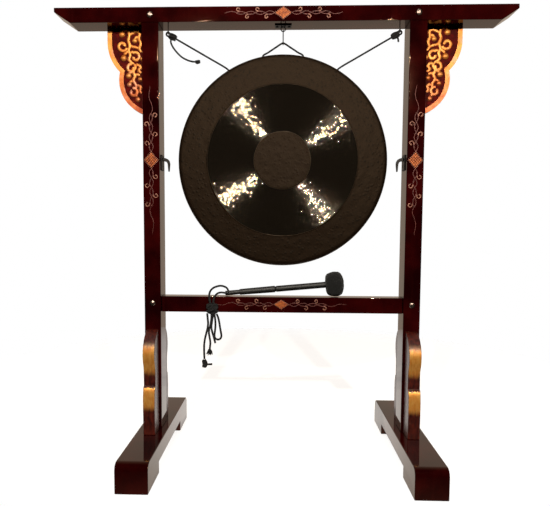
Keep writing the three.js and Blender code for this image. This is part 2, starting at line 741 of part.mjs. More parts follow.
function addGong() {
  const shell = turned(
    gongProfile(),
    point(0, GONG_CROWN_Y, GONG_CENTRE),
    point(0, 1, 0),
    72,
  );
  const holes = holeTurns.map((turn) =>
    rod(
      RIM_HOLE_DIAMETER,
      onHoleLine(turn, GONG_RADIUS - 12),
      onHoleLine(turn, GONG_RADIUS + 12),
      10,
    ),
  );
  addPart(gongGroup, "gong", cut(shell, ...holes), BRONZE);
}

function addRimKnots() {
  const names = ["centre_left", "centre_right", "side_left", "side_right"];
  const across = 2 * RIM_KNOT_RADIUS;
  holeTurns.forEach((turn, index) => {
    const centre = onHoleLine(turn, RIM_INSIDE - GAP - RIM_KNOT_RADIUS - 0.5);
    const knot = lump(centre, point(0, 1, 0), across + 3, across, across);
    addPart(gongGroup, `${names[index]}_rim_knot`, knot, CORD_BLACK);
  });
}

// An S of wire in the Y-Z plane: over the plate's ring, and under the cord's apex.
function addSHook() {
  const route = [];
  const arc = (centreZ, radius, from, to, steps) => {
    for (let i = 0; i <= steps; i += 1) {
      const angle = THREE.MathUtils.degToRad(from + ((to - from) * i) / steps);
      route.push(point(0, radius * Math.cos(angle), centreZ + radius * Math.sin(angle)));
    }
  };
  arc(HINGE_Z, SHOOK_TOP_RADIUS, -50, 195, 9);
  arc(HINGE_Z - CENTRE_CORD_DROP, SHOOK_LOW_RADIUS, 15, -230, 9);
  addPart(gongGroup, "s_hook", sweep(SHOOK_WIRE, route, 2), BLACK_IRON);
}

function addCentreCord() {
  const hole = onHoleLine(-CENTRE_HOLE_TURN, GONG_RADIUS + 1.5);
  const apex = point(0, 0, HINGE_Z - CENTRE_CORD_DROP);
  const turn = near(hole, 12.6, -3, 9.2);
  const high = near(apex, -6, 1.4, -1.9);
  const half = [
    onHoleLine(-CENTRE_HOLE_TURN, RIM_INSIDE + 0.2),
    hole,
    near(hole, 0.8, -0.1, 3),
    near(hole, 4.9, -0.9, 6.2),
    turn,
    turn.clone().lerp(high, 0.33),
    turn.clone().lerp(high, 0.67),
    high,
  ];
  const mirrored = half.map((p) => point(-p.x, p.y, p.z)).reverse();
  addPart(gongGroup, "centre_cord", sweep(CORD, [...half, apex, ...mirrored], 6), CORD_BLACK);
}

// Each side cord, its knot and its loose end, drawn from the screw eye: x runs towards the gong.
const EYE_KNOT_LENGTH = 4 * CORD;
const EYE_KNOT_WIDTH = 3.2 * CORD;

function sideCordParts(sign) {
  const fromEye = (x, y, z) => point(sign * (EYE_SPREAD - x), y, HINGE_Z + z);
  const knot = fromEye(12.5, 0, -13);
  const hole = onHoleLine(sign * SIDE_HOLE_TURN, GONG_RADIUS + 1.5);
  const turn = near(hole, sign * 14.2, -1.2, 10.4);
  const slope = turn.clone().sub(knot).normalize();
  return { fromEye, knot, hole, turn, slope };
}

function addEyeKnot(side, sign) {
  const { fromEye, knot, slope } = sideCordParts(sign);
  const wrap = lump(knot, slope, EYE_KNOT_LENGTH, EYE_KNOT_WIDTH, EYE_KNOT_WIDTH);
  const loop = sweep(
    CORD,
    [
      fromEye(9, 0, -8.5),
      fromEye(5, 0, -4),
      fromEye(2.5, 0, -1),
      fromEye(0, 0, 0),
      fromEye(-3, 0, -1),
      fromEye(-5.3, 0, -4.5),
      fromEye(-4.3, 0, -8.5),
      fromEye(-0.5, 0, -10.6),
      fromEye(5, 0, -11.5),
      fromEye(11, 0, -13.5),
    ],
    3.2,
  );
  const pieces = [wrap, loop];
  if (side === "right") {
    const end = [fromEye(9, -1, -15), fromEye(5, -3, -24), fromEye(4, -4, -32)];
    pieces.push(sweep(CORD, end));
  }
  addPart(gongGroup, `${side}_eye_knot`, join(...pieces), CORD_BLACK);
}

function addSideCord(side, sign) {
  const { knot, hole, turn, slope } = sideCordParts(sign);
  const start = knot.clone().addScaledVector(slope, EYE_KNOT_LENGTH / 2 + 1);
  const route = [
    start,
    start.clone().lerp(turn, 0.25),
    start.clone().lerp(turn, 0.5),
    start.clone().lerp(turn, 0.75),
    turn,
    near(hole, sign * 5.2, -0.2, 4.8),
    hole,
    onHoleLine(sign * SIDE_HOLE_TURN, RIM_INSIDE + 0.2),
  ];
  addPart(gongGroup, `${side}_side_cord`, sweep(CORD, route, 12), CORD_BLACK);
}

function addCordTail() {
  const { fromEye, knot } = sideCordParts(-1);
  const down = point(-0.45, -0.15, -0.88);
  const route = [
    knot.clone().addScaledVector(down, EYE_KNOT_WIDTH / 2 + 2),
    fromEye(8, -3.5, -29),
    fromEye(11, -5.5, -37),
    fromEye(17, -8, -47.5),
    fromEye(27, -10, -60),
    fromEye(40, -11, -72.5),
    fromEye(55, -11, -81),
    fromEye(69, -11, -85.5),
    fromEye(79, -11, -86.7),
  ];
  addPart(gongGroup, "left_cord_tail", sweep(CORD, route, 9), CORD_BLACK);
  const end = lump(fromEye(86.8 + (CORD - 5) / 2, -11, -87), point(1, 0, 0), 15, 11, 11);
  addPart(gongGroup, "left_tail_knot", end, CORD_BLACK);
}

// ---- Mallet ----
// Its head rests on the rail, and so does the end of its handle.
const malletHead = point(MALLET_HEAD_X, 0, RAIL_TOP + GAP + MALLET_HEAD_RADIUS + 0.4);
const malletEnd = point(MALLET_END_X, 0, RAIL_TOP + GAP + MALLET_END_DIAMETER / 2 + 0.4);
const malletAxis = malletHead.clone().sub(malletEnd).normalize();
const onMallet = (distance) => malletEnd.clone().addScaledVector(malletAxis, distance);

function addMallet() {
  const length = malletHead.distanceTo(malletEnd);
  const radius = MALLET_SHAFT_DIAMETER / 2;
  const endRadius = MALLET_END_DIAMETER / 2;
  const gripEnd = MALLET_END_LENGTH + MALLET_GRIP_LENGTH;
  const coreReach = length + 0.3 * MALLET_HEAD_LENGTH;
  const shaft = turned(
    [
      [0, 0],
      [endRadius - 1, 0],
      [endRadius, 1.5],
      [endRadius, MALLET_END_LENGTH + MALLET_GRIP_LENGTH],
      [radius, gripEnd + 4],
      [radius, coreReach],
      [0, coreReach],
    ],
    malletEnd,
    malletAxis,
  );
  const middle = onMallet(MALLET_HOLE_INSET);
  const hole = rod(
    MALLET_CORD_HOLE,
    middle.clone().add(point(0, -20, 0)),
    middle.clone().add(point(0, 20, 0)),
    12,
  );
  addPart(malletGroup, "mallet_handle", cut(shaft, hole), RUBBER);

  const bore = endRadius + GAP;
  const grip = turned(
    [
      [bore, MALLET_END_LENGTH],
      [bore + MALLET_GRIP_WALL - 0.5, MALLET_END_LENGTH],
      [bore + MALLET_GRIP_WALL, MALLET_END_LENGTH + 2],
      [bore + MALLET_GRIP_WALL + 1, gripEnd - 3],
      [bore + MALLET_GRIP_WALL, gripEnd - GAP],
      [bore, gripEnd - GAP],
      [bore, MALLET_END_LENGTH],
    ],
    malletEnd,
    malletAxis,
  );
  addPart(malletGroup, "mallet_grip", grip, RUBBER);

  const coreHalf = 0.36 * MALLET_HEAD_LENGTH;
  const coreBore = radius + GAP;
  const core = turned(
    [
      [coreBore, length - coreHalf],
      [MALLET_CORE_RADIUS - 2, length - coreHalf],
      [MALLET_CORE_RADIUS, length - coreHalf + 2],
      [MALLET_CORE_RADIUS, length + coreHalf - 2],
      [MALLET_CORE_RADIUS - 2, length + coreHalf],
      [coreBore, length + coreHalf],
      [coreBore, length - coreHalf],
    ],
    malletEnd,
    malletAxis,
  );
  addPart(malletGroup, "mallet_core", core, CORE_WOOD);

  // The padded head wraps the core, with a bore where the handle comes in.
  const half = MALLET_HEAD_LENGTH / 2;
  const wide = MALLET_HEAD_RADIUS;
  const pocket = MALLET_CORE_RADIUS + GAP;
  const felt = turned(
    [
      [coreBore, length - half + 2],
      [0.55 * wide, length - half],
      [0.86 * wide, length - 0.62 * half],
      [wide, length - 0.1 * half],
      [0.93 * wide, length + 0.45 * half],
      [0.62 * wide, length + 0.88 * half],
      [0.3 * wide, length + half],
      [0, length + half],
      [0, length + coreHalf + 1],
      [pocket, length + coreHalf + 1],
      [pocket, length - coreHalf - 1],
      [coreBore, length - coreHalf - 1],
      [coreBore, length - half + 2],
    ],
    malletEnd,
    malletAxis,
  );
  addPart(malletGroup, "mallet_head", felt, FELT);
}

// The wrist cord and its tassel hang over the rail's front edge. They are drawn from three places:
// the hole in the handle, the rail's upper front corner below it, and the middle of the fat knot.
const malletHole = onMallet(MALLET_HOLE_INSET);
const railCorner = point(malletHole.x, -RAIL_DEPTH / 2, RAIL_TOP);
const tasselKnot = near(
  railCorner,
  -TASSEL_KNOT_SET,
  -TASSEL_KNOT_DEPTH / 2 - 1,
  -TASSEL_KNOT_DROP,
);
const routeFrom = (anchor, places) => places.map((place) => near(anchor, ...place));

// From the knot, over the rail's front edge, through the handle and back.
function addMalletCord() {
  const up = routeFrom(railCorner, [
    [-49.5, -9.5, -19],
    [-52, -7.5, -10],
    [-53.5, -4.5, 0],
    [-53.5, 1.5, 9.5],
    [-50.5, 10, 17.5],
    [-44, 19, 23.5],
  ]);
  const through = routeFrom(malletHole, [
    [-34.5, 3.5, 18.7],
    [-24, 9.5, 20],
    [-14, 14.5, 17.4],
    [-6, 18.3, 11.9],
    [-2.5, 17.6, 5.6],
    [-0.7, 14.2, 1.4],
    [0, 8.5, 0],
    [0, 0, 0],
    [0, -8.5, 0],
    [-1, -14, 0.4],
    [-5, -18.5, 1.4],
    [-12, -21, 2.9],
  ]);
  const down = routeFrom(railCorner, [
    [-21, 1, 12],
    [-30, -0.5, 9],
    [-36.5, -3.5, 2],
    [-40, -6.5, -7.5],
    [-41, -9.5, -19],
  ]);
  const route = [...up, ...through, ...down];
  addPart(malletGroup, "mallet_cord", sweep(MALLET_CORD, route, 6.5), CORD_BLACK);
}

function addTassel() {
  const along = point(1, 0, 0);
  const knot = lump(tasselKnot, along, TASSEL_KNOT_LENGTH, TASSEL_KNOT_DEPTH, TASSEL_KNOT_HEIGHT);
  addPart(malletGroup, "tassel_knot", knot, CORD_BLACK);

  const strands = {
    tassel_long_strand: [
      [-15, 2, -15],
      [-14, 4, -30],
      [-13, 4.5, -44],
      [-14.5, 5, -58],
      [-18, 5, -73],
      [-22, 5, -89],
      [-24.5, 5, -107],
      [-25, 5, -123],
      [-24.6, 5, -138],
      [-24, 5, -151],
    ],
    tassel_middle_strand: [
      [-2, -3.5, -15],
      [-2.2, -3.5, -27],
      [-5, -3.5, -47],
      [-9.5, -3.5, -67],
      [-7.6, -3.5, -84],
      [-5.4, -3.5, -99],
      [-6.5, -3.5, -114],
      [-7.6, -3.5, -123],
    ],
    tassel_short_strand: [
      [2.5, 3.5, -15],
      [-1.4, 3.5, -40],
      [-3, 3.5, -56],
      [-0.8, 3.5, -69],
      [3.3, 3.5, -83],
      [8.5, 3.5, -103],
    ],
    tassel_bight: [
      [13, -3.5, -15],
      [17, -3.5, -24],
      [20.5, -3.5, -38],
      [23, -3.5, -54],
      [25.5, -3.5, -68],
      [27, -3.5, -79],
      [25.6, -3.5, -85.5],
      [22, -3.5, -89.2],
      [17, -3.5, -90.5],
      [12, -3.5, -89.2],
      [8.3, -3.5, -85.5],
      [7, -3.5, -79],
      [8, -3.5, -68],
      [9.5, -3.5, -54],
      [9.5, -3.5, -38],
      [8, -3.5, -24],
      [6.5, -3.5, -15.5],
    ],
  };
  for (const [name, places] of Object.entries(strands)) {
    const step = name === "tassel_bight" ? 8 : 12;
    addPart(malletGroup, name, sweep(MALLET_CORD, routeFrom(tasselKnot, places), step), CORD_BLACK);
  }
  const endKnot = lump(near(tasselKnot, -23.5, 5, -164.5), point(0, 0, 1), 23, 16, 15);
  const stub = sweep(MALLET_CORD, routeFrom(tasselKnot, [
    [-23.5, 5, -166],
    [-12, 4, -166.5],
    [-1, 3, -165.5],
  ]));
  addPart(malletGroup, "tassel_end_knot", join(endKnot, stub), CORD_BLACK);
}

// ---- Assembly ----
addBeam();
addRail();
addEyePlate();
for (const [side, sign] of SIDES) {
  addFoot(side, sign);
  addPost(side, sign);
  addBracket(side, sign);
  addBraces(side, sign);
  addHook(side, sign);
  addScrewEye(side, sign);
  addThroughBolt(
    `${side}_beam`,
    sign * POST_X,
    BEAM_UNDERSIDE + BEAM_HEIGHT / 2,
    -BEAM_DEPTH / 2,
    BEAM_DEPTH / 2,
  );
  addThroughBolt(
    `${side}_rail`,
    sign * POST_X,
    RAIL_BOLT_HEIGHT,
    -POST_DEPTH / 2,
    POST_DEPTH / 2,
  );
}
addGong();
addRimKnots();
addSHook();
addCentreCord();
for (const [side, sign] of SIDES) {
  addEyeKnot(side, sign);
  addSideCord(side, sign);
}
addCordTail();
addMallet();
addMalletCord();
addTassel();

export default model;
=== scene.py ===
# %% [markdown]
# # A tam-tam gong on its lacquered floor stand
#
# The stand is black-red lacquered timber: two posts on arched feet, a beam with sloped ends and a
# rail across. Carved and gilded boards fill the corners. A 610 mm bronze gong hangs on cords, and
# its mallet lies on the rail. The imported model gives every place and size, so the first cell loads
# it and keeps its box.

# %% Load the frame
import json
import math
import random

import bmesh
import bpy
from mathutils import Matrix, Vector


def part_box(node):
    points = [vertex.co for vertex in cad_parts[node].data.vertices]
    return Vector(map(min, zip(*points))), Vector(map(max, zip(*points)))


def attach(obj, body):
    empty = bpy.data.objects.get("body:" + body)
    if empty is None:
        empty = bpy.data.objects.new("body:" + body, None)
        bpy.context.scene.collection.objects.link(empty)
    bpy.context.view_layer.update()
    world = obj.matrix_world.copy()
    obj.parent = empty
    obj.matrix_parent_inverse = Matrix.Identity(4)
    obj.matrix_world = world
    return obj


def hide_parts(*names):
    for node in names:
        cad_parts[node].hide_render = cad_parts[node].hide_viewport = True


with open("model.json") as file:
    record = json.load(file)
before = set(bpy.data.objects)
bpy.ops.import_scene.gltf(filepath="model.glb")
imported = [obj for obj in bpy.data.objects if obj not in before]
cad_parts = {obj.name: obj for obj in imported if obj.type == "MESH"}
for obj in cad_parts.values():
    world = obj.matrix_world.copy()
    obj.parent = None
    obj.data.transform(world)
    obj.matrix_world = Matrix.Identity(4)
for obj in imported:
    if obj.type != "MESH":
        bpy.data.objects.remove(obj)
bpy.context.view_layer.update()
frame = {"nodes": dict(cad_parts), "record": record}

MM = 0.001
SIDES = {"left": -1, "right": 1}

# %% [markdown]
# ## The camera
#
# The viewer stands a step and a half in front of the gong, with the eyes level with the middle of
# the stand and looking slightly down. A turn about the upright, a tilt and a very small roll set the
# direction, and a small shift frames it.

# %% Camera
FOCAL_IN_WIDTHS = 525.6 / 550
camera_data = bpy.data.cameras.new("viewer")
camera_data.sensor_width = 36
camera_data.lens = 36 * FOCAL_IN_WIDTHS
camera_data.shift_x = 0.0227
camera_data.shift_y = 0.030
camera = bpy.data.objects.new("viewer", camera_data)
camera.location = (-0.0056, -1.5494, 0.6632)
camera.rotation_euler = (math.pi / 2 - 0.071, -0.0048, 0.0328)
bpy.context.collection.objects.link(camera)
bpy.context.scene.camera = camera
print("camera at", tuple(round(v, 3) for v in camera.location))

# %% [markdown]
# ## Cords
#
# Every cord is a black braided line, 5 mm thick where the gong hangs on it and 6 mm on the mallet.
# Blender draws one as a curve through a few points with a round bevel, which stays smooth however
# it bends. The length of each is printed.

# %% Cord helper
CORD = 5
MALLET_CORD = 6


def lay_out(piece, routes, width):
    """Fills a curve with smooth lines through points in millimetres; a closed one ends in "loop"."""
    curve = piece.data
    curve.dimensions = "3D"
    curve.bevel_depth = 1
    curve.bevel_resolution = 3
    curve.resolution_u = 8
    curve.use_fill_caps = True
    for route in routes:
        closed = route[-1] == "loop"
        places = route[:-1] if closed else route
        spline = curve.splines.new("BEZIER")
        spline.bezier_points.add(len(places) - 1)
        spline.use_cyclic_u = closed
        for knot, place in zip(spline.bezier_points, places):
            knot.co = Vector(place) * MM
            knot.radius = width / 2 * MM
            knot.handle_left_type = knot.handle_right_type = "AUTO"


def through(name, routes, width, body, node):
    """One or more round lines of a width, as one piece that stands for a plain solid."""
    piece = bpy.data.objects.new(name, bpy.data.curves.new(name, "CURVE"))
    bpy.context.collection.objects.link(piece)
    lay_out(piece, routes, width)
    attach(piece, body)
    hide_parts(node)
    return piece


def length_of(piece):
    """The length of a curve's own line, in metres."""
    return sum(spline.calc_length() for spline in piece.data.splines)


def near(anchor, places):
    """Points given by how far each lies from an anchor."""
    return [anchor + Vector(place) for place in places]


cords = {}

# %% [markdown]
# ## What the gong hangs on
#
# A V of cord hangs from the S-hook and goes through two holes in the gong's rim. A cord on each side
# runs from a screw eye to another hole. The gong's weight keeps them straight, except near the holes,
# where they turn in over the rim.

# %% Hanging cords
GONG_RADIUS = 305
GONG_CENTRE = 870
CROWN_Y = -14
HOLE_Y = CROWN_Y + 30
RIM_INSIDE = 301.5
HINGE_Z = 1236
EYE_SPREAD = 331


def at_hole(turn, distance):
    """A point at a distance from the gong's axis, on the line through a hole this far round the rim."""
    angle = math.radians(turn)
    return Vector((distance * math.sin(angle), HOLE_Y, GONG_CENTRE + distance * math.cos(angle)))


apex = Vector((0, 0, HINGE_Z - 32.5))
hole = at_hole(-11, GONG_RADIUS + 1.5)
bend, high = hole + Vector((12.6, -3, 9.2)), apex + Vector((-6, 1.4, -1.9))
half_v = [
    at_hole(-11, RIM_INSIDE + 0.2),
    hole,
    hole + Vector((0.8, -0.1, 3)),
    hole + Vector((4.9, -0.9, 6.2)),
    bend,
    bend.lerp(high, 0.33),
    bend.lerp(high, 0.67),
    high,
]
other_half = [Vector((-p.x, p.y, p.z)) for p in reversed(half_v)]
route = [*half_v, apex, *other_half]
cords["centre"] = through("centre_line", [route], CORD, "gong", "centre_cord")

eye_knots = {}
slopes = {}
for side, sign in SIDES.items():
    eye_knots[side] = Vector((sign * (EYE_SPREAD - 12.5), 0, HINGE_Z - 13))
    hole = at_hole(31 * sign, GONG_RADIUS + 1.5)
    bend = hole + Vector((14.2 * sign, -1.2, 10.4))
    slopes[side] = (bend - eye_knots[side]).normalized()
    start = eye_knots[side] + slopes[side] * 11
    route = [start, *(start.lerp(bend, share) for share in (0.25, 0.5, 0.75)), bend]
    route += [hole + Vector((5.2 * sign, -0.2, 4.8)), hole, at_hole(31 * sign, RIM_INSIDE + 0.2)]
    cords[side] = through(f"{side}_line", [route], CORD, "gong", f"{side}_side_cord")
for name, cord in cords.items():
    print(name, "cord", round(length_of(cord) * 1000), "mm")

# %% [markdown]
# ## Loose ends
#
# The left knot was tied with a long end to spare. It is stiff enough to stand off in a curve and ends
# in a small knot.

# %% The left tail
eye = Vector((-EYE_SPREAD, 0, HINGE_Z))
tail_route = [eye_knots["left"] + Vector((-0.45, -0.15, -0.88)) * 10] + near(
    eye,
    [
        (8, -3.5, -29),
        (11, -5.5, -37),
        (17, -8, -47.5),
        (27, -10, -60),
        (40, -11, -72.5),
        (55, -11, -81),
        (69, -11, -85.5),
        (79, -11, -86.7),
    ],
)
cords["tail"] = through("left_tail_line", [tail_route], CORD, "gong", "left_cord_tail")
print("tail", round(length_of(cords["tail"]) * 1000), "mm")

# %% [markdown]
# ## The mallet's wrist cord and tassel
#
# The cord goes through the end of the handle and over the front of the rail. Its two runs are tied
# together in a fat knot, and what is left hangs below in four strands.

# %% Mallet cords
RAIL_TOP = 474
mallet_end = Vector((-166, 0, RAIL_TOP + 7.7))
mallet_head = Vector((157, 0, RAIL_TOP + 37.7))
mallet_axis = (mallet_head - mallet_end).normalized()
cord_hole = mallet_end + mallet_axis * 9
rail_corner = Vector((cord_hole.x, -23, RAIL_TOP))
tassel_knot = rail_corner + Vector((-44, -10, -34))

wrist_route = near(
    rail_corner,
    [
        (-49.5, -9.5, -19),
        (-52, -7.5, -10),
        (-53.5, -4.5, 0),
        (-53.5, 1.5, 9.5),
        (-50.5, 10, 17.5),
        (-44, 19, 23.5),
    ],
)
wrist_route += near(
    cord_hole,
    [
        (-34.5, 3.5, 18.7),
        (-24, 9.5, 20),
        (-14, 14.5, 17.4),
        (-6, 18.3, 11.9),
        (-2.5, 17.6, 5.6),
        (-0.7, 14.2, 1.4),
        (0, 8.5, 0),
        (0, 0, 0),
        (0, -8.5, 0),
        (-1, -14, 0.4),
        (-5, -18.5, 1.4),
        (-12, -21, 2.9),
    ],
)
wrist_route += near(
    rail_corner, [(-21, 1, 12), (-30, -0.5, 9), (-36.5, -3.5, 2), (-40, -6.5, -7.5), (-41, -9.5, -19)]
)
cords["mallet_cord"] = through("mallet_cord_line", [wrist_route], MALLET_CORD, "mallet", "mallet_cord")

# %% Tassel strands
strands = {
    "tassel_long_strand": [
        (-15, 2, -15),
        (-14, 4, -30),
        (-13, 4.5, -44),
        (-14.5, 5, -58),
        (-18, 5, -73),
        (-22, 5, -89),
        (-24.5, 5, -107),
        (-25, 5, -123),
        (-24.6, 5, -138),
        (-24, 5, -151),
    ],
    "tassel_middle_strand": [
        (-2, -3.5, -15),
        (-2.2, -3.5, -27),
        (-5, -3.5, -47),
        (-9.5, -3.5, -67),
        (-7.6, -3.5, -84),
        (-5.4, -3.5, -99),
        (-6.5, -3.5, -114),
        (-7.6, -3.5, -123),
    ],
    "tassel_short_strand": [
        (2.5, 3.5, -15),
        (-1.4, 3.5, -40),
        (-3, 3.5, -56),
        (-0.8, 3.5, -69),
        (3.3, 3.5, -83),
        (8.5, 3.5, -103),
    ],
    "tassel_bight": [
        (13, -3.5, -15),
        (17, -3.5, -24),
        (20.5, -3.5, -38),
        (23, -3.5, -54),
        (25.5, -3.5, -68),
        (27, -3.5, -79),
        (25.6, -3.5, -85.5),
        (22, -3.5, -89.2),
        (17, -3.5, -90.5),
        (12, -3.5, -89.2),
        (8.3, -3.5, -85.5),
        (7, -3.5, -79),
        (8, -3.5, -68),
        (9.5, -3.5, -54),
        (9.5, -3.5, -38),
        (8, -3.5, -24),
        (6.5, -3.5, -15.5),
    ],
}
for node, places in strands.items():
    cords[node] = through(f"{node}_line", [near(tassel_knot, places)], MALLET_CORD, "mallet", node)
    print(node, round(length_of(cords[node]) * 1000), "mm")

# %% [markdown]
# ## Knots
#
# A knot in round cord is a line that winds round and through itself. A torus knot does just that: the
# line goes round the middle twice while it weaves in and out of the ring three or more times. Three
# weaves give the plain overhand knot, and more give a fuller one. Squeezed to the right size along
# the right direction, it stands for every knot on the gong and the mallet.

# %% Knot helper
def tied(centre, axis, length, width, depth, weaves, cord):
    """A knot's closed line, in millimetres; its length lies along an axis."""
    turn = Vector((0, 0, 1)).rotation_difference(Vector(axis))
    steps = 8 * weaves
    line = []
    for i in range(steps):
        t = 2 * math.pi * i / steps
        reach = 2.1 + math.cos(weaves * t)
        place = Vector(
            (
                reach * math.cos(2 * t) / 3.1 * (width - cord) / 2,
                reach * math.sin(2 * t) / 3.1 * (depth - cord) / 2,
                -math.sin(weaves * t) * (length - cord) / 2,
            )
        )
        line.append(Vector(centre) + turn @ place)
    return [*line, "loop"]


knots = {}
for turn, name in ((-11, "centre_left"), (11, "centre_right"), (-31, "side_left"), (31, "side_right")):
    centre = at_hole(turn, RIM_INSIDE - 7.8)
    line = tied(centre, (0, 1, 0), 17, 15, 15, 3, CORD)
    knots[name] = through(f"{name}_knot", [line], CORD, "gong", f"{name}_rim_knot")
print(len(knots), "rim knots")

# %% Knots on the screw eyes
LOOP = [(9, -8.5), (5, -4), (2.5, -1), (0, 0), (-3, -1), (-5.3, -4.5)]
LOOP += [(-4.3, -8.5), (-0.5, -10.6), (5, -11.5)]
for side, sign in SIDES.items():
    eye = Vector((sign * EYE_SPREAD, 0, HINGE_Z))
    loop = near(eye, [(-sign * inward, 0, up) for inward, up in [*LOOP, (11, -13.5)]])
    lines = [tied(eye_knots[side], slopes[side], 24, 20, 17, 5, CORD), loop]
    if side == "right":
        lines.append(near(eye, [(-9, -1, -15), (-6.5, -2.4, -20), (-5, -3, -24), (-4, -4, -32)]))
    knots[side] = through(f"{side}_eye_tie", lines, CORD, "gong", f"{side}_eye_knot")
end = Vector((-EYE_SPREAD + 86.8, -11, HINGE_Z - 87))
lines = [tied(end, (1, 0, 0), 15, 12, 12, 3, CORD)]
knots["tail"] = through("left_tail_tie", lines, CORD, "gong", "left_tail_knot")
print("eye knots at", [tuple(round(c) for c in k) for k in eye_knots.values()])

# %% Knots of the mallet's cord
fat = [
    tied(tassel_knot, (1, 0, 0), 35, 34, 19, 5, MALLET_CORD),
    tied(tassel_knot, (1, 0, 0.2), 24, 27, 14, 3, MALLET_CORD),
]
knots["tassel"] = through("tassel_tie", fat, MALLET_CORD, "mallet", "tassel_knot")
end = tassel_knot + Vector((-23.5, 5, -164.5))
lines = [
    tied(end, (0, 0, 1), 25, 18, 15, 3, MALLET_CORD),
    near(
        tassel_knot,
        [(-23.5, 5, -166), (-17, 4.5, -166.5), (-12, 4, -166.5), (-6, 3.5, -166), (-1, 3, -165.5)],
    ),
]
knots["tassel_end"] = through("tassel_end_tie", lines, MALLET_CORD, "mallet", "tassel_end_knot")
print(len(knots), "knots")

# %% [markdown]
# The end of the middle strand has come undone into a small brush of threads. They fan out from the
# cord's last few millimetres, each one thin and slightly bent, from a fixed seed.

# %% Frayed end
threads = []
dice = random.Random(5)
tip = tassel_knot + Vector(strands["tassel_middle_strand"][-1])
for _ in range(70):
    lean = Vector((dice.uniform(-0.62, 0.62), dice.uniform(-0.35, 0.35), -1)).normalized()
    root = tip + Vector((dice.uniform(-2.2, 2.2), dice.uniform(-2.2, 2.2), dice.uniform(2, 6)))
    reach = dice.uniform(11, 19)
    bow = Vector((dice.uniform(-1, 1), dice.uniform(-1, 1), 0))
    threads.append([root, root + lean * reach * 0.5 + bow, root + lean * reach])
fringe = bpy.data.objects.new("tassel_brush", bpy.data.curves.new("tassel_brush", "CURVE"))
bpy.context.collection.objects.link(fringe)
lay_out(fringe, threads, 1.1)
fringe.data.bevel_resolution = 1
fringe.data.resolution_u = 3
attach(fringe, "mallet")
print("threads", len(threads))

# %% [markdown]
# ## The cords' table
#
# A table gives for each cord how its far end ends, how stiff it is, how it lies, how thick it is and
# which pieces belong to it. The loop below looks each cord up and does nothing more with it.

# %% Cord table
DECLARED = {
    "centre": ("object", "limp", "taut", CORD, []),
    "left": ("object", "limp", "taut", CORD, []),
    "right": ("object", "limp", "taut", CORD, []),
    "tail": ("knot", "stiff", "loose", CORD, [knots["tail"]]),
    "mallet_cord": ("object", "limp", "hanging", MALLET_CORD, [knots["tassel"]]),
    "tassel_long_strand": ("knot", "limp", "hanging", MALLET_CORD, [knots["tassel_end"]]),
    "tassel_middle_strand": ("bare", "limp", "hanging", MALLET_CORD, [fringe]),
    "tassel_short_strand": ("bare", "limp", "hanging", MALLET_CORD, []),
    "tassel_bight": ("object", "limp", "hanging", MALLET_CORD, []),
}
for name, (far_end, stiffness, lay, width, pieces) in DECLARED.items():
    line = cords[name]
    width * MM
print("declared", len(DECLARED), "cords")

# %% [markdown]
# ## Shader sums
#
# A material is a network of nodes. Written by hand it is long, so a small class wraps a socket and
# lets ordinary Python sums add the Math nodes: `1 - mask * 0.3` is two of them.

# %% Shader helpers
class Value:
    """A socket that takes part in sums."""

    def __init__(self, shader, socket):
        self.shader = shader
        self.socket = socket

    def math(self, operation, *values):
        return self.shader.node("ShaderNodeMath", {"operation": operation}, dict(enumerate(values)))

    def __add__(self, other):
        return self.math("ADD", self, other)

    def __sub__(self, other):
        return self.math("SUBTRACT", self, other)

    def __rsub__(self, other):
        return self.math("SUBTRACT", other, self)

    def __mul__(self, other):
        return self.math("MULTIPLY", self, other)

    def __truediv__(self, other):
        return self.math("DIVIDE", self, other)

    def __pow__(self, other):
        return self.math("POWER", self, other)

    __radd__ = __add__
    __rmul__ = __mul__

    def sine(self):
        return self.math("SINE", self)

    def ramp(self, low, high):
        """0 below low, 1 above high, and a smooth step between."""
        return self.shader.node(
            "ShaderNodeMapRange",
            {"interpolation_type": "SMOOTHSTEP"},
            {"Value": self, "From Min": low, "From Max": high},
        )


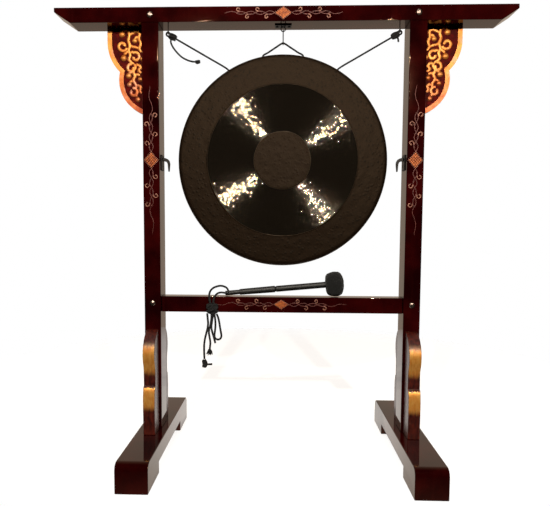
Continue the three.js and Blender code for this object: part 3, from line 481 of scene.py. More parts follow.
class Shader:
    """One material, and the few calls that its nodes are made with."""

    def __init__(self, name):
        self.material = bpy.data.materials.new(name)
        self.material.use_nodes = True
        self.tree = self.material.node_tree
        self.tree.nodes.clear()
        self.place = self.node("ShaderNodeTexCoord", out="Object")

    def node(self, kind, settings=None, sockets=None, out=0):
        """Adds any node: its settings first, then the values or links of its sockets."""
        node = self.tree.nodes.new(kind)
        for name, value in (settings or {}).items():
            if name == "stops":
                ramp = node.color_ramp
                while len(ramp.elements) < len(value):
                    ramp.elements.new(1)
                for element, (position, colour) in zip(ramp.elements, value):
                    element.position = position
                    element.color = (*colour, 1)
            else:
                setattr(node, name, value)
        for name, value in (sockets or {}).items():
            if isinstance(value, Value):
                self.tree.links.new(value.socket, node.inputs[name])
            else:
                node.inputs[name].default_value = value
        return Value(self, node.outputs[out])

    def noise(self, scale, detail=3.0, stretch=(1, 1, 1), roughness=0.5):
        """Cloudy noise from 0 to 1, with a number of lumps to the metre."""
        place = self.node("ShaderNodeMapping", None, {"Vector": self.place, "Scale": stretch})
        sockets = {"Vector": place, "Scale": scale, "Detail": detail, "Roughness": roughness}
        return self.node("ShaderNodeTexNoise", None, sockets)

    def cells(self, scale, feature="F1", out="Distance", randomness=1.0):
        """Scattered points: the distance to the nearest, or the colour of its cell."""
        sockets = {"Vector": self.place, "Scale": scale, "Randomness": randomness}
        return self.node("ShaderNodeTexVoronoi", {"feature": feature}, sockets, out)

    def axes(self):
        """The X, Y and Z of the point being shaded."""
        first = self.node("ShaderNodeSeparateXYZ", None, {0: self.place})
        outputs = first.socket.node.outputs
        return [Value(self, outputs[i]) for i in range(3)]

    def mix(self, factor, one, two):
        """One colour where the factor is 0, the other where it is 1."""
        colours = [c if isinstance(c, Value) else (*c, 1) for c in (one, two)]
        sockets = {0: factor, 6: colours[0], 7: colours[1]}
        return self.node("ShaderNodeMix", {"data_type": "RGBA"}, sockets, 2)

    def bump(self, height, depth, base=None):
        """A normal for a height from 0 to 1 that stands for a depth in metres."""
        sockets = {"Height": height, "Distance": depth, "Strength": 1.0}
        if base:
            sockets["Normal"] = base
        return self.node("ShaderNodeBump", None, sockets)

    def finish(self, **surface):
        """Joins up a Principled surface; a name's underscores stand for spaces."""
        sockets = {name.replace("_", " "): value for name, value in surface.items()}
        for name, value in sockets.items():
            if isinstance(value, tuple):
                sockets[name] = (*value, 1)
        shader = self.node("ShaderNodeBsdfPrincipled", None, sockets)
        output = self.tree.nodes.new("ShaderNodeOutputMaterial")
        self.tree.links.new(shader.socket, output.inputs["Surface"])
        return self.material


print("shader helpers ready")

# %% [markdown]
# ## Finishes
#
# The lacquer is near black until light grazes it, with a brown-red body, fine dust and a soft grain
# under the gloss. The gold is paint brushed over it, thinner in some places than in others, and it
# turns darker and redder towards the bottom of the brackets. Colours are given as they look on a
# screen and turned into light here.

# %% Colour helper
def screen(red, green, blue):
    """A colour as a screen shows it, 0 to 255, turned into linear light."""
    shares = [c / 255 for c in (red, green, blue)]
    return tuple(s / 12.92 if s <= 0.04045 else ((s + 0.055) / 1.055) ** 2.4 for s in shares)


finishes = {}

# %% Lacquer
shader = Shader("lacquered_wood")
cloud = shader.noise(9, 4)
grain = shader.noise(60, 4, (1, 1, 0.06))
dust = 1 - shader.cells(420).ramp(0.05, 0.16)
tint = shader.mix(cloud.ramp(0.3, 0.75), screen(22, 1, 2), screen(54, 5, 5))
body = shader.mix(grain.ramp(0.55, 0.8) * 0.35, tint, screen(52, 10, 8))
speckled = shader.mix(dust * 0.12, body, screen(110, 70, 56))
relief = grain * 0.4 + shader.noise(700, 2) * 0.25 + dust * 0.5
finishes["lacquered_wood"] = shader.finish(
    Base_Color=speckled,
    Roughness=0.03 + cloud * 0.03 + dust * 0.02,
    Normal=shader.bump(relief, 0.000008),
    Coat_Weight=0.0,
    Specular_IOR_Level=0.4,
    Specular_Tint=(1.0, 0.6, 0.38),
)

# %% Gold paint
shader = Shader("gilded_carving")
brushed = shader.noise(120, 4, (1, 1, 1), 0.6)
patch = shader.noise(38, 3)
# The gold turns darker and redder towards the bottom of the brackets.
height = shader.axes()[2].ramp(1.02, 1.19)
gold = shader.mix(patch.ramp(0.3, 0.7), screen(216, 146, 68), screen(196, 112, 38))
copper = shader.mix(patch.ramp(0.3, 0.7), screen(186, 104, 58), screen(150, 62, 22))
blush = shader.noise(26, 2).ramp(0.56, 0.7) * 0.55
painted = shader.mix(blush, shader.mix(height, copper, gold), screen(208, 140, 112))
worn = shader.mix(brushed.ramp(0.6, 0.78) * 0.6, painted, screen(96, 32, 14))
finishes["gold"] = shader.finish(
    Base_Color=worn,
    Metallic=0.55,
    Roughness=0.34 + brushed * 0.2,
    Normal=shader.bump(brushed, 0.00025),
)

# %% The ground of the carving
shader = Shader("carved_ground")
mottle = shader.noise(70, 4)
ground = shader.mix(mottle.ramp(0.35, 0.75), screen(58, 4, 3), screen(96, 12, 7))
finishes["carved_ground"] = shader.finish(
    Base_Color=ground,
    Roughness=0.45 + mottle * 0.2,
    Normal=shader.bump(mottle, 0.0003),
    Specular_IOR_Level=0.04,
)

# %% Paints of the vines
for name, light, dark in (
    ("painted_line", (150, 100, 80), (88, 42, 32)),
    ("painted_stem", (92, 38, 28), (50, 14, 11)),
    ("painted_gold", (176, 90, 28), (108, 36, 9)),
):
    shader = Shader(name)
    thin = shader.noise(160, 4, (1, 1, 1), 0.65)
    finishes[name] = shader.finish(
        Base_Color=shader.mix(thin.ramp(0.35, 0.75), screen(*light), screen(*dark)),
        Metallic=0.3,
        Roughness=0.42 + thin * 0.2,
        Normal=shader.bump(thin, 0.0001),
    )

# %% [markdown]
# ## Metal, rubber, felt and cord
#
# Bright steel for the bolts, black iron for the small hardware, black rubber on the handle. The felt
# is a deep, rough black with pale flecks of lint, and the cord shows the slant of its braid.

# %% Small materials
shader = Shader("bolt_steel")
scratches = shader.noise(900, 3, (1, 0.2, 1))
finishes["bolt_steel"] = shader.finish(
    Base_Color=shader.mix(scratches.ramp(0.3, 0.8), screen(150, 132, 122), screen(98, 80, 72)),
    Metallic=1.0,
    Roughness=0.22 + scratches * 0.2,
    Normal=shader.bump(scratches, 0.00004),
)

shader = Shader("black_iron")
pitted = shader.noise(500, 3)
finishes["black_iron"] = shader.finish(
    Base_Color=shader.mix(pitted.ramp(0.55, 0.8), screen(22, 18, 17), screen(70, 52, 44)),
    Metallic=0.6,
    Roughness=0.35 + pitted * 0.25,
    Normal=shader.bump(pitted, 0.00008),
)

shader = Shader("handle_rubber")
skin = shader.noise(1500, 2)
smudge = shader.noise(30, 3)
finishes["handle_rubber"] = shader.finish(
    Base_Color=shader.mix(smudge.ramp(0.4, 0.8), screen(9, 9, 9), screen(24, 23, 22)),
    Roughness=0.38 + smudge * 0.2,
    Normal=shader.bump(skin, 0.00005),
)

shader = Shader("felt")
fuzz = shader.noise(900, 5, (1, 1, 1), 0.75)
flecks = 1 - shader.cells(210).ramp(0.08, 0.2)
finishes["felt"] = shader.finish(
    Base_Color=shader.mix(flecks * fuzz.ramp(0.4, 0.6), screen(3, 3, 3), screen(64, 62, 62)),
    Roughness=0.9 + fuzz * 0.1,
    Normal=shader.bump(fuzz, 0.0009),
    Sheen_Weight=0.08,
)

shader = Shader("core_wood")
rings = (shader.noise(14, 2) * 60).sine()
finishes["core_wood"] = shader.finish(
    Base_Color=shader.mix(rings * 0.5 + 0.5, screen(168, 126, 82), screen(128, 88, 52)),
    Roughness=0.6 + rings * 0.08,
    Normal=shader.bump(rings, 0.0001),
)

shader = Shader("black_cord")
x, y, z = shader.axes()
slant = ((x + z) * 2400).sine() * ((x - z + y) * 2400).sine()
lint = shader.noise(1300, 3)
finishes["black_cord"] = shader.finish(
    Base_Color=shader.mix((slant * 0.5 + lint).ramp(0.5, 1.1), screen(10, 10, 11), screen(46, 44, 46)),
    Roughness=0.75 + lint * 0.2,
    Normal=shader.bump(slant * 0.5 + lint * 0.5, 0.0006),
)
print(len(finishes), "finishes so far")

# %% [markdown]
# ## The gong's bronze
#
# The gong is hammered all over, then turned bright and dark again in a wide band, so it has three
# zones: a brown middle, a near-black band and an olive-brown border with darker hammer marks. The
# distance from the middle says which zone a point is in.

# %% Bronze
shader = Shader("gong_bronze")
x, y, z = shader.axes()
z = z - GONG_CENTRE * MM
radius = (x * x + z * z) ** 0.5
dents = shader.noise(75, 3)
fine = shader.noise(420, 4, (1, 1, 1), 0.65)
pits = 1 - shader.cells(95).ramp(0.12, 0.42)
wobble = (shader.noise(14, 3) - 0.5) * 0.006
in_band = (radius + wobble).ramp(0.0815, 0.084) * (1 - (radius + wobble * 0.4).ramp(0.2165, 0.2185))
rings = (radius * 1256.6).sine() * 0.5 + 0.5
middle = shader.mix(fine.ramp(0.35, 0.7), screen(15, 7, 3), screen(27, 17, 9))
border = shader.mix(fine.ramp(0.3, 0.75), screen(12, 6, 3), screen(33, 20, 9))
spotted = shader.mix(pits * dents.ramp(0.35, 0.6) * 0.8, border, screen(9, 7, 5))
outside = shader.mix((radius + wobble).ramp(0.15, 0.16), middle, spotted)
band = shader.mix(rings * 0.3 + fine * 0.4, screen(62, 52, 42), screen(116, 104, 88))
finishes["gong_bronze"] = shader.finish(
    Base_Color=shader.mix(in_band, outside, band),
    Metallic=0.45 + in_band * 0.48,
    Roughness=0.55 - in_band * 0.5 + fine * 0.03,
    Normal=shader.bump((dents * 0.4 + fine * 0.25 + pits * 0.35) * (1 - in_band * 0.8), 0.0012),
    Specular_IOR_Level=0.25,
    Specular_Tint=(1.0, 0.78, 0.56),
)
print("gong zones end at 83 and 218 mm")

# %% [markdown]
# ## Modelling helpers
#
# Every piece starts as a primitive at its own size and place, and is shaped in edit mode. Operators
# act on whatever is selected, so one helper clears the selection and one selects vertices, edges or
# faces by a test of where they are.

# %% Helpers
def rest():
    """Object mode, with nothing selected."""
    if bpy.context.mode != "OBJECT":
        bpy.ops.object.mode_set(mode="OBJECT")
    bpy.ops.object.select_all(action="DESELECT")


def hold(piece):
    """Object mode, with only this piece selected and active."""
    rest()
    piece.select_set(True)
    bpy.context.view_layer.objects.active = piece


def edit(piece):
    """Edit mode on this piece, with everything selected."""
    hold(piece)
    bpy.ops.object.mode_set(mode="EDIT")
    bpy.ops.mesh.select_all(action="SELECT")


def choose(piece, kind, test):
    """In edit mode, selects the vertices, edges or faces that pass a test."""
    bpy.ops.mesh.select_mode(type=kind)
    bpy.ops.mesh.select_all(action="DESELECT")
    mesh = bmesh.from_edit_mesh(piece.data)
    chosen = 0
    for item in {"VERT": mesh.verts, "EDGE": mesh.edges, "FACE": mesh.faces}[kind]:
        if test(item):
            item.select_set(True)
            chosen += 1
    bmesh.update_edit_mesh(piece.data)
    return chosen


def centre_of(item):
    """The middle of an edge or a face."""
    corners = [v.co for v in item.verts]
    return sum(corners, Vector()) / len(corners)


def box(low, high):
    """A box from its lowest to its highest corner, in millimetres."""
    rest()
    low, high = Vector(low) * MM, Vector(high) * MM
    bpy.ops.mesh.primitive_cube_add(size=1, location=(low + high) / 2)
    piece = bpy.context.object
    piece.scale = high - low
    bpy.ops.object.transform_apply(location=True, rotation=True, scale=True)
    return piece


TURNS = {"X": (0, math.pi / 2, 0), "Y": (math.pi / 2, 0, 0), "Z": (0, 0, 0)}


def disc(radius, length, centre, axis="Y", sides=48):
    """A round bar along an axis, in millimetres."""
    rest()
    bpy.ops.mesh.primitive_cylinder_add(
        vertices=sides,
        radius=radius * MM,
        depth=length * MM,
        location=Vector(centre) * MM,
        rotation=TURNS[axis],
    )
    bpy.ops.object.transform_apply(location=True, rotation=True, scale=True)
    return bpy.context.object


def soften(piece, width, segments=3, angle=30):
    """Rounds every edge that is sharper than an angle."""
    hold(piece)
    bevel = piece.modifiers.new("soften", "BEVEL")
    bevel.width = width * MM
    bevel.segments = segments
    bevel.limit_method = "ANGLE"
    bevel.angle_limit = math.radians(angle)
    bevel.harden_normals = False
    bpy.ops.object.modifier_apply(modifier=bevel.name)


def keep(piece, name, body, slot, finish, *nodes):
    """Names a finished piece, gives it its finish, and puts it in place of its plain solids."""
    hold(piece)
    bpy.ops.object.transform_apply(location=True, rotation=True, scale=True)
    bpy.ops.object.shade_smooth_by_angle(angle=math.radians(38))
    weigh = piece.modifiers.new("weigh", "WEIGHTED_NORMAL")
    weigh.keep_sharp = True
    bpy.ops.object.modifier_apply(modifier=weigh.name)
    piece.name = piece.data.name = name
    piece.data.materials.clear()
    piece.data.materials.append(finishes[finish])
    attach(piece, body)
    if nodes:
        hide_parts(*nodes)
    return piece


def node_box(node):
    """A node's lowest and highest corners, in millimetres."""
    return [corner * 1000 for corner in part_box(node)]


floor_of_beam = node_box("top_beam")[0].z
top_of_beam = node_box("top_beam")[1].z
top_of_foot = node_box("left_foot")[1].z
print("beam", round(floor_of_beam), "to", round(top_of_beam), "mm; feet", round(top_of_foot), "mm high")

# %% [markdown]
# ## The timber
#
# Posts, rail, beam and feet are square timber with a small round on every edge, which is what lets
# the lacquer catch light there. The beam's ends are cut back below on a slope. Each foot is one piece
# with an arch cut out underneath and its top corners rounded off.

# %% Posts and rail
POST_X = 376
POST_HALF = 24
HALF_DEPTH = 34
FIT = 0.3
RAIL_HALF = 351.7
for side, sign in SIDES.items():
    middle = POST_X * sign
    post = box(
        (middle - POST_HALF, -HALF_DEPTH, top_of_foot + FIT),
        (middle + POST_HALF, HALF_DEPTH, floor_of_beam - FIT),
    )
    soften(post, 2.4)
    keep(post, f"{side}_post_timber", "stand", "lacquered_wood", "lacquered_wood", f"{side}_post")
rail_low, rail_high = node_box("cross_rail")
rail = box((-RAIL_HALF, rail_low.y, rail_low.z), (RAIL_HALF, rail_high.y, rail_high.z))
soften(rail, 2)
keep(rail, "rail_timber", "stand", "lacquered_wood", "lacquered_wood", "cross_rail")

# %% Beam
BEAM_HALF = 650
END_FACE = 12
END_SLOPE = 45
beam = box((-BEAM_HALF, -HALF_DEPTH, floor_of_beam), (BEAM_HALF, HALF_DEPTH, top_of_beam))
edit(beam)
bpy.ops.mesh.bisect(plane_co=(0, 0, (top_of_beam - END_FACE) * MM), plane_no=(0, 0, 1))
for sign in (-1, 1):
    choose(beam, "VERT", lambda v: v.co.z < floor_of_beam * MM + 1e-4 and v.co.x * sign > 0)
    bpy.ops.transform.translate(value=(-sign * END_SLOPE * MM, 0, 0))
soften(beam, 2)
keep(beam, "beam_timber", "stand", "lacquered_wood", "lacquered_wood", "top_beam")

# %% Feet
ARCH_HALF = 154
ARCH_HEIGHT = 32
for side, sign in SIDES.items():
    low, high = node_box(f"{side}_foot")
    foot = box((low.x, low.y, ARCH_HEIGHT), (high.x, high.y, high.z))
    edit(foot)
    for place in (-ARCH_HALF, ARCH_HALF):
        bpy.ops.mesh.select_all(action="SELECT")
        bpy.ops.mesh.bisect(plane_co=(0, place * MM, 0), plane_no=(0, 1, 0))
    choose(foot, "FACE", lambda f: f.normal.z < -0.9 and abs(centre_of(f).y) > ARCH_HALF * MM)
    bpy.ops.mesh.extrude_region_move(TRANSFORM_OT_translate={"value": (0, 0, -ARCH_HEIGHT * MM)})
    ends = choose(
        foot,
        "EDGE",
        lambda e: centre_of(e).z > (high.z - 1) * MM and abs(centre_of(e).y) > (high.y - 1) * MM,
    )
    bpy.ops.mesh.bevel(offset=20 * MM, segments=8, affect="EDGES")
    soften(foot, 2)
    keep(foot, f"{side}_foot_timber", "stand", "lacquered_wood", "lacquered_wood", f"{side}_foot")
    print(side, "foot:", ends, "end edges rounded,", len(foot.data.polygons), "faces")

# %% [markdown]
# ## Lines laid on a surface
#
# Both the carved scrolls and the thin painted vines are strokes of varying thickness on an upright
# face. Each stroke is a curve with a round section whose thickness varies along it, so a bead at its
# end is only a thick last stretch. All the strokes of one ornament are turned into a mesh together
# and pressed flat towards the face they lie on.

# %% Strokes
def arc(centre, radius, start, turn, thickness, shrink=0.55, bead=1.7, steps=14):
    """A curl: an arc that winds inwards from its start and ends in a bead. Angles in degrees."""
    line = []
    for i in range(steps + 1):
        along = i / steps
        angle = math.radians(start + turn * along)
        out = radius * (1 - shrink * along**1.6)
        swell = 1 + (bead - 1) * max(0.0, (along - 0.82) / 0.18) if bead > 1 else 1 - 0.4 * along
        line.append((centre[0] + out * math.cos(angle), centre[1] + out * math.sin(angle), thickness * swell))
    return line


def bead(u, v, across):
    """A round drop: a short upright stroke that swells and closes again."""
    turns = [math.radians(angle) for angle in range(10, 171, 16)]
    return [(u, v + across / 2 * math.cos(turn), across * math.sin(turn)) for turn in turns]


def bezier_line(points, thickness, steps=8, taper=0.3):
    """A smooth line through a few points, thinner at both ends by the taper."""
    line = []
    last = len(points) - 1
    for i in range(last):
        before, one, two, after = (Vector(points[max(0, min(last, i + k))]) for k in (-1, 0, 1, 2))
        for step in range(steps if i < last - 1 else steps + 1):
            t = step / steps
            place = 0.5 * (
                2 * one
                + (two - before) * t
                + (2 * before - 5 * one + 4 * two - after) * t * t
                + (3 * one - before - 3 * two + after) * t**3
            )
            along = (i + t) / last
            ends = 1 - taper * abs(2 * along - 1) ** 3
            line.append((place.x, place.y, thickness * ends))
    return line


def ornament(name, lines, place, face_y, flat, body, slot, finish):
    """Strokes in millimetres on an upright face, as one piece. place turns (u, v) into (x, z)."""
    curve = bpy.data.curves.new(name, "CURVE")
    curve.dimensions = "3D"
    curve.bevel_depth = MM / 2
    curve.bevel_resolution = 2
    curve.use_fill_caps = True
    for line in lines:
        spline = curve.splines.new("POLY")
        spline.points.add(len(line) - 1)
        for knot, (u, v, thickness) in zip(spline.points, line):
            across, up = place(u, v)
            knot.co = (across * MM, face_y * MM, up * MM, 1)
            knot.radius = thickness
    piece = bpy.data.objects.new(name, curve)
    bpy.context.collection.objects.link(piece)
    hold(piece)
    bpy.ops.object.convert(target="MESH")
    piece = bpy.context.object
    edit(piece)
    bpy.ops.transform.resize(value=(1, flat, 1), center_override=(0, face_y * MM, 0))
    bpy.ops.mesh.normals_make_consistent(inside=False)
    return keep(piece, name, body, slot, finish)


# %% [markdown]
# ## Brackets under the beam
#
# Each bracket is a board sawn to two round lobes. Its front keeps a smooth gilded border along the
# sawn edge, and inside that the ground is cut back and painted dark, with thick gilded scrolls left
# standing. The outline is the union of two discs and a block, sliced off where the board meets post
# and beam.

# %% Bracket boards
BOARD_EDGE = 400.3
BOARD_REACH = 512
BOARD_FRONT = 12
BOARD_BACK = 30
BORDER = 13
GROUND_DEPTH = 3
UPPER_LOBE = {"across": 396, "down": 40, "radius": 116}
LOWER_LOBE = {"across": 377.5, "down": 147, "radius": 102}


def modify(piece, kind, **settings):
    """Gives a piece a modifier with these settings and applies it."""
    hold(piece)
    change = piece.modifiers.new(kind.lower(), kind)
    for name, value in settings.items():
        setattr(change, name, value)
    bpy.ops.object.modifier_apply(modifier=change.name)


def slice_off(piece, place, normal):
    """Cuts away what lies on the far side of a plane and closes the cut."""
    edit(piece)
    bpy.ops.mesh.bisect(plane_co=Vector(place) * MM, plane_no=normal, clear_outer=True, use_fill=True)


def combine(first, operation, *others):
    """Adds solids to a piece, or takes them away, and merges faces that lie flush."""
    for other in others:
        modify(first, "BOOLEAN", operation=operation, solver="MANIFOLD", object=other)
        bpy.data.objects.remove(other)
    edit(first)
    bpy.ops.mesh.dissolve_limited(angle_limit=math.radians(0.5))
    rest()
    return first


def lobed(sign, front, back, smaller):
    """A board of two round lobes and a shoulder, or the same drawn in by a border's width."""
    near_end, far_end = sorted((sign * 380, sign * (BOARD_REACH - smaller)))
    shoulder = floor_of_beam - UPPER_LOBE["down"]
    block = box((near_end, front, shoulder), (far_end, back, floor_of_beam + 20))
    lobes = [
        disc(
            lobe["radius"] - smaller,
            back - front,
            (lobe["across"] * sign, (front + back) / 2, floor_of_beam - lobe["down"]),
            sides=sides,
        )
        for lobe, sides in ((UPPER_LOBE, 144), (LOWER_LOBE, 128))
    ]
    return combine(block, "UNION", *lobes)


for side, sign in SIDES.items():
    board = lobed(sign, BOARD_FRONT, BOARD_BACK, 0)
    slice_off(board, (BOARD_EDGE * sign, 0, 0), (-sign, 0, 0))
    slice_off(board, (0, 0, floor_of_beam - FIT), (0, 0, 1))
    hollow = lobed(sign, BOARD_FRONT - 5, BOARD_FRONT + GROUND_DEPTH, BORDER)
    board = combine(board, "DIFFERENCE", hollow)
    soften(board, 1.0, 2, 40)
    keep(board, f"{side}_bracket_board", "stand", "gilded_carving", "gold", f"{side}_bracket")
    board.data.materials.append(finishes["carved_ground"])
    painted = 0
    for face in board.data.polygons:
        depth = face.center.y / MM
        ground = face.normal.y < -0.9 and depth > BOARD_FRONT + 0.8 * GROUND_DEPTH
        if ground or depth > BOARD_BACK - 0.5:
            face.material_index = 1
            painted += 1
    print(side, "bracket:", painted, "dark faces of", len(board.data.polygons))

# %% [markdown]
# ## The carved scrolls
#
# A wavy stem runs down each board, through both lobes. Shorter strokes leave it on either side and end
# in a curl that winds inwards, or beside a round drop. They are drawn once for the right bracket and
# mirrored for the left.

# %% Scrolls
SCROLL = 9.6
scrolls = [
    bezier_line(
        [(53, -1), (48, -16), (51, -32), (47, -48), (51, -62), (46, -74), (50, -86), (44, -95), (35, -100)],
        SCROLL,
    ),
    bezier_line([(35, -100), (31, -110), (38, -122), (33, -134), (38, -147), (31, -158), (30, -170)], SCROLL),
    bezier_line([(52, -3), (62, -3), (70, -9)], SCROLL),
    bead(69.5, -16, SCROLL * 1.8),
    arc((68, -49), 14, 205, 340, SCROLL, 0.62, 1.2),
    bezier_line([(48, -62), (57, -67), (64, -74)], SCROLL),
    bead(65.5, -83, SCROLL * 1.85),
    bezier_line(
        [(49, -18), (38, -12), (27, -8), (18, -14), (20, -28), (15, -42), (19, -56), (13, -66)], SCROLL
    ),
    bead(32, -34, SCROLL * 1.55),
    bezier_line([(20, -24), (28, -24), (32, -30)], SCROLL * 0.8),
    bezier_line([(48, -44), (40, -50), (30, -52), (20, -56)], SCROLL * 0.85),
    arc((31, -80), 13.5, 60, 300, SCROLL, 0.62, 1.2),
    bezier_line([(46, -68), (40, -66), (36, -68)], SCROLL * 0.9),
    bead(12, -86, SCROLL * 1.3),
    arc((43, -112), 12.5, 100, -300, SCROLL, 0.62, 1.2),
    bezier_line([(37, -122), (44, -123), (50, -128)], SCROLL),
    bead(51.5, -134, SCROLL * 1.75),
    bezier_line([(33, -104), (23, -103), (16, -110), (22, -119), (14, -126)], SCROLL),
    bezier_line([(34, -134), (26, -130), (18, -134)], SCROLL * 0.9),
    bead(17.5, -144, SCROLL * 1.5),
    bezier_line([(37, -148), (44, -150), (48, -154)], SCROLL * 0.9),
    bead(49.5, -159, SCROLL * 1.5),
    arc((38, -181), 12, 85, 330, SCROLL, 0.55, 1.1),
    bezier_line([(31, -164), (23, -162), (16, -167), (19, -177), (14, -184)], SCROLL),
    bezier_line([(31, -188), (28, -195)], SCROLL * 0.9),
    bead(24.5, -202, SCROLL * 1.6),
]
for side, sign in SIDES.items():
    made = ornament(
        f"{side}_bracket_scrolls",
        scrolls,
        lambda u, v: (sign * (BOARD_EDGE + u), floor_of_beam + v),
        BOARD_FRONT + GROUND_DEPTH - 0.2,
        0.62,
        "stand",
        "gilded_carving",
        "gold",
    )
    print(side, "scrolls", [round(v, 3) for v in made.dimensions])

# %% [markdown]
# ## Braces at the feet
#
# A carved brace stands before and behind each post, on the foot: a board with a long lower lobe, a
# small ledge and an upper lobe. It starts as a box cut into many levels, and the front of each level
# is moved out to the brace's profile. The lobes' edges are gilded, but the gold is laid only over the
# swell of each lobe, where the light catches it, and fades into the lacquer above and below: partly
# real gilding and partly a painted highlight.

# %% Brace profile
BRACE_HEIGHT = 297
LEDGE = 140
REACH = 57
WAIST = 45
BLANK = 40
BRACE_HALF = 17


def cubic(a, b, c, d, t):
    """A point on a cubic curve from a to d, pulled towards b and c."""
    s = 1 - t
    return s**3 * a + 3 * s * s * t * b + 3 * s * t * t * c + t**3 * d


def brace_levels():
    """(height above the foot, reach from the post) up the front of a brace."""
    upper = BRACE_HEIGHT - LEDGE
    levels = [(0, REACH - 2), (28, REACH - 1), (56, REACH)]
    for i in range(1, 11):
        t = i / 10
        levels.append((cubic(56, 101, 132, 139.2, t), cubic(REACH, REACH + 2, REACH, WAIST + 5, t)))
    levels += [(LEDGE, WAIST), (LEDGE + 0.22 * upper, WAIST)]
    first, second = LEDGE + 0.22 * upper, LEDGE + 0.6 * upper
    for i in range(1, 9):
        t = i / 8
        height = cubic(first, LEDGE + 0.42 * upper, LEDGE + 0.4 * upper, second, t)
        levels.append((height, cubic(WAIST, WAIST, REACH, REACH - 1, t)))
    for i in range(1, 15):
        t = i / 14
        height = cubic(second, LEDGE + 0.82 * upper, BRACE_HEIGHT - 8, BRACE_HEIGHT, t)
        levels.append((height, cubic(REACH - 1, REACH - 4, 0.5 * REACH, 6, t)))
    return levels


levels = brace_levels()
print(len(levels), "levels, reach", round(min(r for _, r in levels)), "to", round(max(r for _, r in levels)))

# %% [markdown]
# The gold on a brace is a mask on height: two soft swells, broken up by brush marks. The swells are painted
# highlights: gold only where each lobe faces the light.

# %% Brace finish
shader = Shader("brace_gilding_and_painted_highlight")
x, y, z = shader.axes()
up = (z * 1000) - top_of_foot
streaks = shader.noise(260, 4, (1, 1, 0.12), 0.6)
ragged = up + (streaks - 0.5) * 20
# Painted highlight: gold only over the swell of each lobe, where it catches the light, fading into the
# lacquer above and below.
upper_painted_highlight = ragged.ramp(168, 205) * (1 - ragged.ramp(232, 272))
lower_painted_highlight = ragged.ramp(68, 98) * (1 - ragged.ramp(134, 139))
facing = shader.node("ShaderNodeNewGeometry", out="Normal")
across = shader.node("ShaderNodeSeparateXYZ", None, {0: facing}, "X")
front = 1 - (across * across).ramp(0.2, 0.6)
gilt_and_painted_highlight = (upper_painted_highlight + lower_painted_highlight) * front
brush = shader.noise(140, 4, (1, 1, 0.4), 0.6)
gold = shader.mix(brush.ramp(0.25, 0.8), screen(250, 184, 92), screen(226, 138, 52))
wood = shader.mix(brush.ramp(0.3, 0.8), screen(40, 8, 6), screen(88, 26, 12))
finishes["brace_gilding_and_painted_highlight"] = shader.finish(
    Base_Color=shader.mix(gilt_and_painted_highlight, wood, gold),
    Metallic=gilt_and_painted_highlight * 0.6,
    Roughness=0.3 + brush * 0.15,
    Normal=shader.bump(brush, 0.00015),
    Coat_Weight=0.15,
)

# %% Braces
for side, sign in SIDES.items():
    for place, way in (("front", -1), ("rear", 1)):
        face = 34.3 * way
        outer = face + BLANK * way
        ends = sorted((face, outer))
        base = top_of_foot + FIT
        brace = box(
            (POST_X * sign - BRACE_HALF, ends[0], base),
            (POST_X * sign + BRACE_HALF, ends[1], base + BRACE_HEIGHT),
        )
        edit(brace)
        for height, _ in levels[1:-1]:
            bpy.ops.mesh.select_all(action="SELECT")
            bpy.ops.mesh.bisect(plane_co=(0, 0, (base + height) * MM), plane_no=(0, 0, 1))
        for height, reach in levels:
            choose(
                brace,
                "VERT",
                lambda v: abs(v.co.z - (base + height) * MM) < 2e-5 and abs(v.co.y - outer * MM) < 1e-5,
            )
            bpy.ops.transform.translate(value=(0, (reach - BLANK) * way * MM, 0))
        soften(brace, 1.6, 3, 32)
        keep(
            brace,
            f"{side}_{place}_brace_board",
            "stand",
            "gilded_carving",
            "brace_gilding_and_painted_highlight",
            f"{side}_{place}_brace",
        )
print("brace faces", len(brace.data.polygons))

# %% [markdown]
# ## The gong
#
# A tam-tam starts as a flat disc. It is hammered to a low crown, its edge is turned back, and a lathe
# cuts fine rings into a wide band of the face. Here a filled circle is inset again and again, from
# the edge to the middle, and every inset also sets the depth of its ring. In the band the depth
# follows a small wave, so the lathe's rings are real.

# %% Depth of the face
FACE = [(0, 0), (82, 0.8), (84, 1.5), (218, 5), (220, 5.7), (292, 11)]
GROOVE_EVERY = 5
GROOVE_DEPTH = 0.85


def face_depth(radius):
    """How far back the face is at a radius, in millimetres."""
    for (r1, d1), (r2, d2) in zip(FACE, FACE[1:]):
        if radius <= r2:
            depth = d1 + (d2 - d1) * (radius - r1) / (r2 - r1)
            break
    if 84 < radius < 218:
        depth += GROOVE_DEPTH / 2 * (1 - math.cos(2 * math.pi * (radius - 84) / GROOVE_EVERY))
    return depth


ring_radii = [292 - 4 * i for i in range(1, 18)] + [221.5, 220, 218]
ring_radii += [218 - 1.25 * i for i in range(1, 107)] + [84, 82]
ring_radii += [82 - 4 * i for i in range(1, 20)] + [3]
print("rings", len(ring_radii))

# %% Gong shell
SEGMENTS = 224
rest()
bpy.ops.mesh.primitive_circle_add(
    vertices=SEGMENTS,
    radius=292 * MM,
    fill_type="NGON",
    location=(0, (CROWN_Y + 11) * MM, GONG_CENTRE * MM),
    rotation=(math.pi / 2, 0, 0),
)
bpy.ops.object.transform_apply(location=True, rotation=True, scale=True)
gong = bpy.context.object
edit(gong)
before = 292
for radius in ring_radii:
    step = (before - radius) * math.cos(math.pi / SEGMENTS) * MM
    rise = (face_depth(before) - face_depth(radius)) * MM
    bpy.ops.mesh.inset(thickness=step, depth=rise, use_even_offset=True)
    before = radius
choose(gong, "EDGE", lambda e: e.is_boundary)
rim = [(292 + 13 * math.sin(a), 24 - 13 * math.cos(a)) for a in (math.pi / 12 * i for i in range(1, 7))]
rim += [(305 - 3.5 * i / 5, 24 + 34 * i / 5) for i in range(1, 6)]
place = (292, 11)
